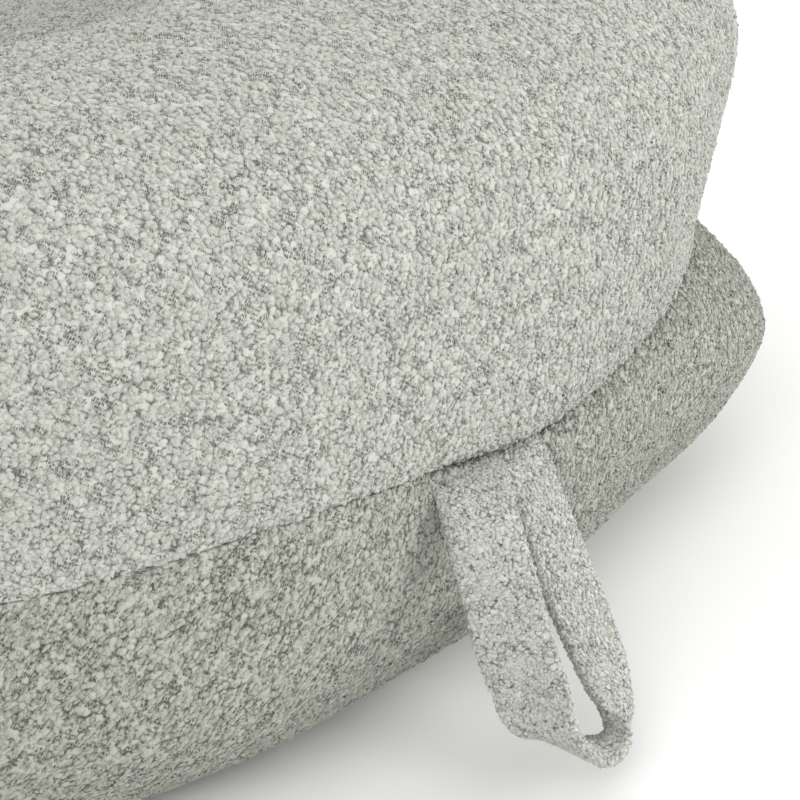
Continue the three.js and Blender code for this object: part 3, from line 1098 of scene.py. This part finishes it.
@dataclass
class KnobScatter:
    """The node tree that sets one course of knobs on a cloth, each with its own size, turn and tone."""

    finish: Boucle
    course: KnobCourse
    share: float  # a scale on the knobs' size and spacing
    tree: bpy.types.NodeTree = field(init=False)
    place: bpy.types.NodeSocket = field(init=False)
    across: float = field(init=False)  # a knob's width, in metres

    def __post_init__(self) -> None:
        """Starts the tree, which takes a mesh and gives one."""
        self.tree = bpy.data.node_groups.new("scatter_knobs", "GeometryNodeTree")
        for way in ("INPUT", "OUTPUT"):
            self.tree.interface.new_socket("Geometry", in_out=way, socket_type="NodeSocketGeometry")
        self.place = add_node(self.tree, "GeometryNodeInputPosition").outputs[0]
        self.across = self.course.across * self.share * MM

    def spread(self, cloth: bpy.types.NodeSocket) -> bpy.types.Node:
        """Spreads points on the cloth, closer where its pile is full, and fewer in the bare streaks.

        Args:
            cloth: the mesh, with a "pile" attribute.

        Returns:
            The node that gives the points, and the cloth's direction at each.
        """
        finish, spacing = self.finish, self.course.spacing * self.share * MM
        kept = {0: finish.streaks(self.tree, self.place), 1: -finish.bareness, 2: 1.0}
        full = add_node(self.tree, "ShaderNodeMath", {"operation": "MULTIPLY_ADD"}, kept).outputs[0]
        both = {0: finish.read(self.tree, "pile"), 1: full}
        density = add_node(self.tree, "ShaderNodeMath", {"operation": "MULTIPLY"}, both).outputs[0]
        return add_node(
            self.tree,
            "GeometryNodeDistributePointsOnFaces",
            {"distribute_method": "POISSON"},
            {
                "Mesh": cloth,
                "Distance Min": spacing,
                "Density Max": self.course.crowding / spacing**2,
                "Density Factor": density,
                "Seed": self.course.seed,
            },
        )

    def noted(
        self, geometry: bpy.types.NodeSocket, kind: str, values: dict[str, bpy.types.NodeSocket]
    ) -> bpy.types.NodeSocket:
        """Notes values at every point, each in a named attribute, in the order given.

        Args:
            geometry: the points or the mesh.
            kind: the kind of value.
            values: by the attribute's name.

        Returns:
            The geometry with its attributes.
        """
        for name, value in values.items():
            geometry = add_node(
                self.tree,
                "GeometryNodeStoreNamedAttribute",
                {"data_type": kind, "domain": "POINT"},
                {"Geometry": geometry, "Name": name, "Value": value},
            ).outputs[0]
        return geometry

    def level_way(self, spot: bpy.types.NodeSocket) -> bpy.types.NodeSocket:
        """Gives the level direction round the bag at a place."""
        ends = {0: (0, 0, 1), 1: spot}
        level = add_node(self.tree, "ShaderNodeVectorMath", {"operation": "CROSS_PRODUCT"}, ends).outputs[0]
        return add_node(self.tree, "ShaderNodeVectorMath", {"operation": "NORMALIZE"}, {0: level}).outputs[0]

    def turned(self, upwards: bpy.types.NodeSocket) -> bpy.types.NodeSocket:
        """Stands each knob upright on the cloth, its long side along the grain, then turns it by chance.

        Args:
            upwards: the cloth's direction at the knob.

        Returns:
            The knob's turn.
        """
        tree, course = self.tree, self.course
        grain = math.radians(self.finish.grain)
        sideways = {0: self.level_way(self.place), "Scale": math.cos(grain)}
        level = add_node(tree, "ShaderNodeVectorMath", {"operation": "SCALE"}, sideways).outputs[0]
        climb = {0: level, 1: (0, 0, math.sin(grain))}
        lie = add_node(tree, "ShaderNodeVectorMath", {"operation": "ADD"}, climb).outputs[0]
        upright = add_node(
            tree, "FunctionNodeAlignRotationToVector", {"axis": "Z"}, {"Vector": upwards}
        ).outputs[0]
        laid = add_node(
            tree,
            "FunctionNodeAlignRotationToVector",
            {"axis": "X", "pivot_axis": "Z"},
            {"Rotation": upright, "Vector": lie},
        ).outputs[0]
        most = (course.tilt, course.tilt, course.spin)
        chance = add_node(
            tree,
            "FunctionNodeRandomValue",
            {"data_type": "FLOAT_VECTOR"},
            {0: tuple(-angle for angle in most), 1: most, "Seed": course.seed + 2},
        ).outputs[0]
        return add_node(
            tree, "FunctionNodeRotateRotation", {"rotation_space": "LOCAL"}, {0: laid, 1: chance}
        ).outputs[0]

    def set_out(self, points: bpy.types.Node, knob: bpy.types.Object) -> bpy.types.NodeSocket:
        """Sets a knob on each point, with its own size, turn and tone.

        Args:
            points: the node that gives the points.
            knob: one round knob.

        Returns:
            The knobs as meshes, which remember their "root" on the cloth and which way is "up" there.
        """
        tree, course = self.tree, self.course
        upwards = points.outputs["Normal"]
        tone = add_node(
            tree, "FunctionNodeRandomValue", {"data_type": "FLOAT"}, {2: 0.0, 3: 1.0, "Seed": course.seed + 1}
        ).outputs[1]
        toned = self.noted(points.outputs["Points"], "FLOAT", {"tone": tone})
        rooted = self.noted(toned, "FLOAT_VECTOR", {"root": self.place, "up": upwards})
        off_cloth = {0: upwards, "Scale": self.across * course.standing}
        offset = add_node(tree, "ShaderNodeVectorMath", {"operation": "SCALE"}, off_cloth).outputs[0]
        standing = {"Geometry": rooted, "Offset": offset}
        raised = add_node(tree, "GeometryNodeSetPosition", {}, standing).outputs[0]
        low, high = (share * course.flatness for share in course.height_spread)
        size = add_node(
            tree,
            "FunctionNodeRandomValue",
            {"data_type": "FLOAT_VECTOR"},
            {0: (*course.shortest, low), 1: (*course.longest, high), "Seed": course.seed + 3},
        ).outputs[0]
        source = add_node(tree, "GeometryNodeObjectInfo", {}, {"Object": knob}).outputs["Geometry"]
        knobs = add_node(
            tree,
            "GeometryNodeInstanceOnPoints",
            {},
            {"Points": raised, "Instance": source, "Rotation": self.turned(upwards), "Scale": size},
        ).outputs[0]
        return add_node(tree, "GeometryNodeRealizeInstances", {}, {"Geometry": knobs}).outputs[0]

    def curled(self, knobs: bpy.types.NodeSocket) -> bpy.types.NodeSocket:
        """Pushes the knobs' points about, so that no knob stays round.

        Args:
            knobs: the meshes.

        Returns:
            The same meshes, curled.
        """
        tree, finish = self.tree, self.finish
        spot = finish.scaled(tree, self.place, self.course.across * self.share * finish.curl_size)
        noise = add_node(tree, "ShaderNodeTexNoise", {}, {"Vector": spot, "Scale": 1.0, "Detail": 1.0})
        middle = {0: noise.outputs["Color"], 1: (0.5, 0.5, 0.5)}
        centred = add_node(tree, "ShaderNodeVectorMath", {"operation": "SUBTRACT"}, middle).outputs[0]
        reach = {0: centred, "Scale": self.across * finish.curl_share}
        offset = add_node(tree, "ShaderNodeVectorMath", {"operation": "SCALE"}, reach).outputs[0]
        return add_node(tree, "GeometryNodeSetPosition", {}, {"Geometry": knobs, "Offset": offset}).outputs[0]

    def unrolled(self, knobs: bpy.types.NodeSocket) -> bpy.types.NodeSocket:
        """Gives each point its "lift" off the cloth, in knob widths, and its own "along" and "rise".

        Args:
            knobs: the meshes, which remember their "root" and "up".

        Returns:
            The meshes with these instead.
        """
        tree, finish = self.tree, self.finish
        root, up = (finish.read(tree, name, "FLOAT_VECTOR") for name in ("root", "up"))
        off_root = add_node(
            tree, "ShaderNodeVectorMath", {"operation": "SUBTRACT"}, {0: self.place, 1: root}
        ).outputs[0]
        level_way = self.level_way(root)
        climb_way = add_node(
            tree, "ShaderNodeVectorMath", {"operation": "CROSS_PRODUCT"}, {0: up, 1: level_way}
        ).outputs[0]
        steps = {
            name: add_node(
                tree, "ShaderNodeVectorMath", {"operation": "DOT_PRODUCT"}, {0: off_root, 1: way}
            ).outputs["Value"]
            for name, way in (("lift", up), ("along", level_way), ("rise", climb_way))
        }
        widths = {0: steps["lift"], 1: self.across}
        found = {"lift": add_node(tree, "ShaderNodeMath", {"operation": "DIVIDE"}, widths).outputs[0]}
        for name in ("along", "rise"):
            moved = {0: finish.read(tree, name), 1: steps[name]}
            found[name] = add_node(tree, "ShaderNodeMath", {"operation": "ADD"}, moved).outputs[0]
        geometry = self.noted(knobs, "FLOAT", found)
        for name in ("root", "up"):
            spent = {"Geometry": geometry, "Name": name}
            geometry = add_node(tree, "GeometryNodeRemoveAttribute", {}, spent).outputs[0]
        return geometry

    def build(self, knob: bpy.types.Object) -> bpy.types.NodeTree:
        """Joins the tree's parts.

        Args:
            knob: one round knob.

        Returns:
            The whole tree.
        """
        cloth = add_node(self.tree, "NodeGroupInput").outputs[0]
        knobs = self.curled(self.set_out(self.spread(cloth), knob))
        add_node(self.tree, "NodeGroupOutput", {}, {0: self.unrolled(knobs)})
        return self.tree


@dataclass
class FilledPanel:
    """One filled panel of the bag: rings from the seam on, closed behind the seam by a hidden face."""

    panel: Panel
    form: BagForm
    view: PhotoView
    finish: Boucle
    slot: str
    segments: int = 228
    rings: tuple[int, ...] = (11, 18, 20)  # between one whole level and the next
    cuts: int = 2
    hidden_share: float = 0.5  # the hidden face has one ring this far out
    seam_margin: float = -0.3  # the pile starts this far from the seam
    tight_margin: float = 3.0  # and this much farther where the seam is drawn in tightest
    tight_reach: float = 22.0  # the ribs' painted shade goes on this far from the seam
    seam_fade: float = 1.5
    sample_angle: float = 90.0  # degrees: the form here gives the first rings, and the lengths up the cloth
    hidden_level: float = -1.0  # the mark of what is hidden behind the seam
    floor_margin: float = 1.0  # what is less than this below the last ring belongs to the hollow's floor

    def levels(self) -> list[float]:
        """Lists the rings' levels, from the seam on."""
        found = [0.0]
        for level, count in enumerate(self.rings):
            found += [level + step / count for step in range(1, count + 1)]
        return found

    def point(self, angles: np.ndarray, levels: np.ndarray) -> tuple[np.ndarray, np.ndarray]:
        """Gives the panel's outer surface, as its form does."""
        if self.panel is Panel.UPPER:
            return self.form.upper_point(angles, levels)
        return self.form.lower_point(angles, levels)

    def block_out(self) -> bpy.types.Object:
        """Extrudes the panel ring by ring from a circle at the seam, and closes both ends.

        Returns:
            The panel's object, with a "level" attribute, below 0 on what is hidden.
        """
        levels = self.levels()
        radii, heights = self.point(np.full(len(levels), self.sample_angle), np.array(levels))
        clear_selection()
        bpy.ops.mesh.primitive_circle_add(
            vertices=self.segments, radius=radii[0] * MM, location=(0, 0, heights[0] * MM)
        )
        piece = bpy.context.active_object
        piece.name = piece.data.name = self.panel.value + "_cloth"
        bpy.ops.object.transform_apply(location=True, rotation=True, scale=True)
        bpy.ops.object.mode_set(mode="EDIT")
        bpy.ops.mesh.select_mode(type="VERT")
        bpy.ops.mesh.select_all(action="SELECT")
        for before, after, low, high in zip(radii, radii[1:], heights, heights[1:]):
            bpy.ops.mesh.extrude_region_move(TRANSFORM_OT_translate={"value": (0, 0, (high - low) * MM)})
            size = after / before
            bpy.ops.transform.resize(value=(size, size, 1), center_override=(0, 0, high * MM))
        if self.panel is Panel.UPPER:
            bpy.ops.mesh.fill_grid(span=self.segments // 4)
        else:
            self.close_inwards(heights[-1])
        bpy.ops.object.mode_set(mode="OBJECT")
        count = self.segments * len(levels)
        select_only(piece, MeshPart.VERTEX, np.arange(len(piece.data.vertices)) < self.segments)
        gap = self.form.seam_gap if self.panel is Panel.UPPER else 0
        self.close_inwards(self.form.mean_seam_height + gap)
        face_outwards()
        ring_levels = np.repeat(levels, self.segments)
        rest = len(piece.data.vertices) - count
        found = np.concatenate([ring_levels, np.full(rest, self.hidden_level)])
        if self.panel is Panel.UPPER:
            places = places_of(piece)
            inner = np.hypot(places[:, 0], places[:, 1]) / radii[-1]
            in_floor = (np.arange(len(found)) >= count) & (places[:, 2] > heights[-1] - self.floor_margin)
            found[in_floor] = len(self.rings) + (1 - inner[in_floor])
        store(piece, "level", found)
        put_in_order(piece, ("level",))
        return piece

    def close_inwards(self, height: float) -> None:
        """Closes the selected ring by a smaller ring and a centre, at a height in millimetres."""
        bpy.ops.mesh.extrude_region_move(TRANSFORM_OT_translate={"value": (0, 0, 0)})
        share = self.hidden_share
        bpy.ops.transform.resize(value=(share, share, 1), center_override=(0, 0, height * MM))
        bpy.ops.mesh.extrude_region_move(TRANSFORM_OT_translate={"value": (0, 0, 0)})
        bpy.ops.mesh.merge(type="CENTER")

    def outer(self, levels: np.ndarray) -> np.ndarray:
        """Tells which levels belong to the outer surface."""
        return levels > self.hidden_level / 2

    def lay_on_form(self, piece: bpy.types.Object) -> None:
        """Moves every vertex of the outer surface to the bag's form, by its angle and level.

        Args:
            piece: the panel, with a "level" attribute.
        """
        places = places_of(piece)
        levels = stored(piece, "level")
        shown = self.outer(levels)
        radii, heights = self.point(angles_of(places)[shown], np.clip(levels[shown], 0, None))
        flat = np.hypot(places[shown, 0], places[shown, 1])
        size = radii / np.maximum(flat, 1e-6)
        places[shown, 0] *= size
        places[shown, 1] *= size
        places[shown, 2] = heights
        put(piece, places)

    def refine(self, piece: bpy.types.Object) -> None:
        """Cuts the faces that the photograph shows into small ones, and lays them on the form again.

        Args:
            piece: the panel, with a "level" attribute.
        """
        seen = self.view.coverage(places_of(piece), normals_of(piece)) > 0
        shown = seen & self.outer(stored(piece, "level"))
        chosen = [
            len(face.vertices) == 4 and all(shown[vertex] for vertex in face.vertices)
            for face in piece.data.polygons
        ]
        select_only(piece, MeshPart.FACE, chosen)
        bpy.ops.mesh.subdivide(number_cuts=self.cuts, ngon=False)
        bpy.ops.object.mode_set(mode="OBJECT")
        put_in_order(piece, ("level",))
        self.lay_on_form(piece)

    def grow_pile(self, piece: bpy.types.Object) -> None:
        """Marks where the knobs are made: where the photograph shows them, and off the seam.

        Args:
            piece: the panel, which gets its "pile", "tight", "along" and "rise" attributes.
        """
        places = places_of(piece)
        levels = stored(piece, "level")
        angles = angles_of(places)
        seam = self.form.at(angles)
        off_seam = np.hypot(
            places[:, 2] - seam["seam_height"], np.hypot(places[:, 0], places[:, 1]) - seam["seam_radius"]
        )
        tight = self.form.tightness(angles)
        clear = smooth_step((off_seam - self.seam_margin - self.tight_margin * tight) / self.seam_fade)
        store(piece, "pile", self.view.coverage(places, normals_of(piece)) * clear * self.outer(levels))
        store(piece, "tight", tight * smooth_step(1 - off_seam / self.tight_reach))
        self.unroll(piece, angles, levels)

    def unroll(self, piece: bpy.types.Object, angles: np.ndarray, levels: np.ndarray) -> None:
        """Keeps each place on the flat cloth, in metres: "along" the seam, and "rise" above it.

        Args:
            piece: the panel.
            angles: of its vertices, in degrees from +X towards +Y.
            levels: of its vertices.
        """
        mesh = piece.data
        corners = np.zeros(len(mesh.loops), int)
        mesh.loops.foreach_get("vertex_index", corners)
        starts, sides = np.zeros((2, len(mesh.polygons)), int)
        mesh.polygons.foreach_get("loop_start", starts)
        mesh.polygons.foreach_get("loop_total", sides)
        first = np.repeat(angles[corners[starts]], sides)
        turned = first + (angles[corners] - first + 180) % 360 - 180
        store(piece, "along", np.radians(turned) * self.form.sections[0].seam_radius * MM, "CORNER")
        steps = np.array(self.levels() + [len(self.rings) + 1.0])
        radii, heights = self.point(np.full(len(steps), self.sample_angle), steps)
        lengths = np.concatenate([[0.0], np.cumsum(np.hypot(np.diff(radii), np.diff(heights)))])
        way = 1 if self.panel is Panel.UPPER else -1
        store(piece, "rise", way * np.interp(levels, steps, lengths) * MM)

    def build(self) -> bpy.types.Object:
        """Builds the panel and dresses it.

        Returns:
            The finished piece.
        """
        piece = self.block_out()
        self.lay_on_form(piece)
        self.refine(piece)
        self.grow_pile(piece)
        self.finish.dress(piece, self.slot)
        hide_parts(self.panel.value)
        return piece


@dataclass(frozen=True)
class StrapPlace:
    """One place on the strap's middle line, in millimetres from the seam.

    Side is to the right along the seam, out is away from the bag and drop is downwards. Turn is the way the
    strap's width points, in degrees: 0 along the seam, 90 straight out from the bag and 180 back along the
    seam. Width and thickness are shares of the strap's own.
    """

    side: float
    out: float
    drop: float
    turn: float
    width: float
    thickness: float


LOOP_PLACES = (
    StrapPlace(-36, -16, 0, 0, 1.12, 0.65),
    StrapPlace(-38, 3, 0, 6, 1.12, 0.75),
    StrapPlace(-51, 27, 1, 20, 1.06, 0.9),
    StrapPlace(-63, 42, 12, 32, 1.0, 1.0),
    StrapPlace(-68, 53, 30, 40, 1.0, 1.0),
    StrapPlace(-70, 62, 50, 46, 1.0, 1.0),
    StrapPlace(-76, 73, 68, 50, 1.0, 1.0),
    StrapPlace(-82, 87, 85, 56, 0.98, 1.0),
    StrapPlace(-88, 101, 100, 72, 0.96, 0.97),
    StrapPlace(-83, 111, 114, 102, 0.96, 0.92),
    StrapPlace(-61, 116, 130, 134, 0.94, 0.9),
    StrapPlace(-41, 116, 131, 150, 0.88, 0.92),
    StrapPlace(-29, 110, 124, 160, 0.85, 0.95),
    StrapPlace(-17, 98, 115, 170, 0.89, 0.97),
    StrapPlace(-7, 83, 102, 179, 0.97, 1.0),
    StrapPlace(-1, 68, 85, 183, 1.0, 1.0),
    StrapPlace(3, 54, 66, 185, 1.0, 1.0),
    StrapPlace(4, 41, 42, 184, 0.96, 1.0),
    StrapPlace(8, 26, 18, 181, 0.92, 0.95),
    StrapPlace(17, 3, 1, 180, 0.9, 0.75),
    StrapPlace(19, -16, 0, 180, 0.9, 0.65),
)


def smooth_path(rows: np.ndarray, shares: np.ndarray, by_length: bool) -> np.ndarray:
    """Runs a smooth curve through rows of numbers.

    Args:
        rows: the values to pass through, one set a row.
        shares: where to read the curve, from 0 at the first row to 1 at the last.
        by_length: True where the rows are places, so that close ones bend the curve less.

    Returns:
        One row for each share.
    """
    ends = np.vstack([2 * rows[0] - rows[1], rows, 2 * rows[-1] - rows[-2]])
    spot = np.clip(shares, 0, 1) * (len(rows) - 1)
    index = np.minimum(spot.astype(int), len(rows) - 2)
    share = (spot - index)[:, None]
    before, start, end, after = (ends[index + step] for step in range(4))
    if by_length:
        spans = [
            np.sqrt(np.linalg.norm(high - low, axis=1))[:, None]
            for low, high in ((before, start), (start, end), (end, after))
        ]
        near, own, far = spans
        first = (start - before) / near - (end - before) / (near + own) + (end - start) / own
        last = (end - start) / own - (after - start) / (own + far) + (after - end) / far
        first, last = first * own, last * own
    else:
        first, last = (end - before) / 2, (after - start) / 2
    return (
        start
        + first * share
        + (3 * (end - start) - 2 * first - last) * share**2
        + (2 * (start - end) + first + last) * share**3
    )


@dataclass
class CarryLoop:
    """The carry loop: one strap of the cloth, sewn round a soft core, with both ends in the seam."""

    finish: Boucle
    slot: str = "loop_boucle"
    width: float = 46
    thickness: float = 11
    length: float = 490
    hang: tuple[float, float, float] = (0, -0.28, -0.96)
    seam_radius: float = 641.63
    seam_height: float = 161.6
    rings: int = 221
    points_round: int = 44
    pile_room: float = 1.5  # the cloth lies this far inside the strap's outline, and its knobs fill that
    pile_start: float = -1  # the pile starts this far out from the seam
    pile_fade: float = 5
    side_roundness: float = 0.5
    face_roundness: float = 0.62
    knob_share: float = 0.66

    def frames(self) -> dict[str, np.ndarray]:
        """Follows the strap's middle line.

        Returns:
            "place", "across" and "outward" as rows, and "width" and "thickness", at every ring.
        """
        shares = np.linspace(0, 1, self.rings)
        origin = np.array([0, -self.seam_radius, self.seam_height])
        rows = np.array([[row.side, -row.out, -row.drop] for row in LOOP_PLACES], float) + origin
        forms = np.array([[row.turn, row.width, row.thickness] for row in LOOP_PLACES], float)
        place = smooth_path(rows, shares, True)
        turn, width, thickness = smooth_path(forms, shares, False).T
        tangent = np.gradient(place, axis=0)
        tangent /= np.linalg.norm(tangent, axis=1)[:, None]
        along = np.array([1.0, 0.0, 0.0])
        hang = np.array(self.hang) / np.linalg.norm(self.hang)
        outwards = np.cross(hang, along)
        across = np.cos(np.radians(turn))[:, None] * along + np.sin(np.radians(turn))[:, None] * outwards
        across -= (across * tangent).sum(1)[:, None] * tangent
        across /= np.linalg.norm(across, axis=1)[:, None]
        return {
            "place": place,
            "across": across,
            "outward": np.cross(tangent, across),
            "width": width * self.width,
            "thickness": thickness * self.thickness,
        }

    def block_out(self) -> bpy.types.Object:
        """Extrudes the strap's section from ring to ring, and closes its ends.

        Returns:
            The strap's object, whose rings still lie one above the other.
        """
        clear_selection()
        bpy.ops.mesh.primitive_circle_add(
            vertices=self.points_round, radius=self.width * MM / 2, location=(0, 0, 0)
        )
        piece = bpy.context.active_object
        piece.name = piece.data.name = "carry_loop_cloth"
        bpy.ops.object.mode_set(mode="EDIT")
        bpy.ops.mesh.select_mode(type="VERT")
        bpy.ops.mesh.select_all(action="SELECT")
        bpy.ops.mesh.edge_face_add()
        for _ in range(self.rings - 1):
            bpy.ops.mesh.extrude_region_move(TRANSFORM_OT_translate={"value": (0, 0, MM)})
        face_outwards()
        put_in_order(piece)
        return piece

    def lay_along(self, piece: bpy.types.Object) -> None:
        """Moves each ring to its place along the strap, with a rounded section.

        Args:
            piece: the strap, whose rings still lie one above the other.
        """
        places = places_of(piece)
        rings = np.rint(places[:, 2]).astype(int)
        around = np.arctan2(places[:, 1], places[:, 0])
        frames = self.frames()
        side = np.sign(np.cos(around)) * np.abs(np.cos(around)) ** self.side_roundness
        face = np.sign(np.sin(around)) * np.abs(np.sin(around)) ** self.face_roundness
        half_width = frames["width"][rings] / 2 - self.pile_room
        half_thickness = frames["thickness"][rings] / 2 - self.pile_room
        put(
            piece,
            frames["place"][rings]
            + frames["across"][rings] * (side * half_width)[:, None]
            + frames["outward"][rings] * (face * half_thickness)[:, None],
        )

    def build(self) -> bpy.types.Object:
        """Builds the strap and dresses it.

        Returns:
            The finished piece.
        """
        piece = self.block_out()
        places = places_of(piece)
        rings = np.rint(places[:, 2])
        around = np.abs(np.arctan2(places[:, 1], places[:, 0]))
        self.lay_along(piece)
        work_on(piece)
        bpy.ops.object.mode_set(mode="EDIT")
        face_outwards()
        places = places_of(piece)
        radii = np.hypot(places[:, 0], places[:, 1])
        store(piece, "pile", smooth_step((radii - self.seam_radius - self.pile_start) / self.pile_fade))
        store(piece, "along", around * self.width / math.pi * MM)
        store(piece, "rise", rings * self.length / self.rings * MM)
        self.finish.dress(piece, self.slot, self.knob_share)
        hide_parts("carry_loop")
        return piece


@dataclass(frozen=True)
class Softbox:
    """One square soft light that looks at a target, in metres and watts."""

    name: str
    place: tuple[float, float, float]
    target: tuple[float, float, float]
    size: float
    power: float

    def add(self) -> None:
        """Adds the light to the scene."""
        data = bpy.data.lights.new(self.name, "AREA")
        data.shape, data.size, data.energy = "SQUARE", self.size, self.power
        lamp = bpy.data.objects.new(self.name, data)
        bpy.context.scene.collection.objects.link(lamp)
        lamp.location = self.place
        lamp.rotation_euler = (Vector(self.target) - Vector(self.place)).to_track_quat("-Z", "Y").to_euler()


@dataclass
class Studio:
    """A pale painted floor and plain soft light."""

    floor_size: float = 60.0
    floor_colour: str = "#f8f8f7"
    floor_roughness: float = 0.9
    floor_gloss: float = 0.1
    air_light: float = 0.8
    softboxes: tuple[Softbox, ...] = (
        Softbox("overhead_softbox", (-0.6, -0.4, 3.0), (0, 0, 0), 3.0, 14),
        Softbox("left_softbox", (-2.4, -1.6, 1.9), (0, 0, 0.2), 1.6, 29),
        Softbox("right_softbox", (1.6, -2.6, 1.1), (0, 0, 0.2), 1.6, 40),
        Softbox("back_softbox", (1.0, 3.0, 1.7), (0, 0, 0.2), 1.8, 26),
    )

    def build(self) -> None:
        """Adds the floor, the lamps and the surrounding light."""
        clear_selection()
        bpy.ops.mesh.primitive_plane_add(size=self.floor_size, location=(0, 0, 0))
        floor = bpy.context.active_object
        floor.name = "studio_floor"
        material = bpy.data.materials.new("painted_floor")
        material.use_nodes = True
        shader = material.node_tree.nodes["Principled BSDF"]
        shader.inputs["Base Color"].default_value = linear(self.floor_colour)
        shader.inputs["Roughness"].default_value = self.floor_roughness
        shader.inputs["Specular IOR Level"].default_value = self.floor_gloss
        floor.data.materials.append(material)
        world = bpy.data.worlds.new("studio_air")
        world.use_nodes = True
        air = world.node_tree.nodes["Background"]
        air.inputs["Color"].default_value = (1, 1, 1, 1)
        air.inputs["Strength"].default_value = self.air_light
        bpy.context.scene.world = world
        for softbox in self.softboxes:
            softbox.add()


def main() -> None:
    """Builds the bean bag round its frame, and its studio."""
    logging.basicConfig(level=logging.INFO, format="%(message)s")
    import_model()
    view = PhotoView()
    view.add_camera()
    bpy.context.scene.view_settings.view_transform = "Standard"
    form = BagForm()
    upper = Boucle("boucle_upper")
    pulled = {"spin": 0.5, "shortest": (0.9, 0.42), "longest": (1.6, 0.75)}
    large, small = KnobCourse("large", 5.6, 6.4, 3, **pulled), KnobCourse("small", 4.6, 3.55, 11, **pulled)
    # The lower panel's colours are darker than the upper's: partly because its pulled weave shows more of the
    # dark ground, and partly as painted shade for its underside.
    lower = Boucle(
        "boucle_lower",
        knob="#bec0b5",
        shade="#9d9f95",
        thread="#8d8e84",
        ground="#44453e",
        courses=(large, small),
        grain=44,
        curl_share=0.45,
        crevice_size=(15, 4.5),
    )
    # The loop's colours are paler than the upper panel's: painted light on the same cloth.
    strap = Boucle(
        "boucle_loop",
        knob="#d6d8d1",
        shade="#c1c3bc",
        thread="#abaca5",
        ground="#5c5d57",
        crevice_size=(5, 3),
        crevice_shade=0.6,
        thin_dark=0.5,
        drawn_pitch=3.2,
    )
    FilledPanel(Panel.UPPER, form, view, upper, "upper_boucle").build()
    FilledPanel(Panel.LOWER, form, view, lower, "lower_boucle", rings=(6, 14)).build()
    CarryLoop(strap).build()
    Studio().build()


if __name__ == "__main__":
    main()
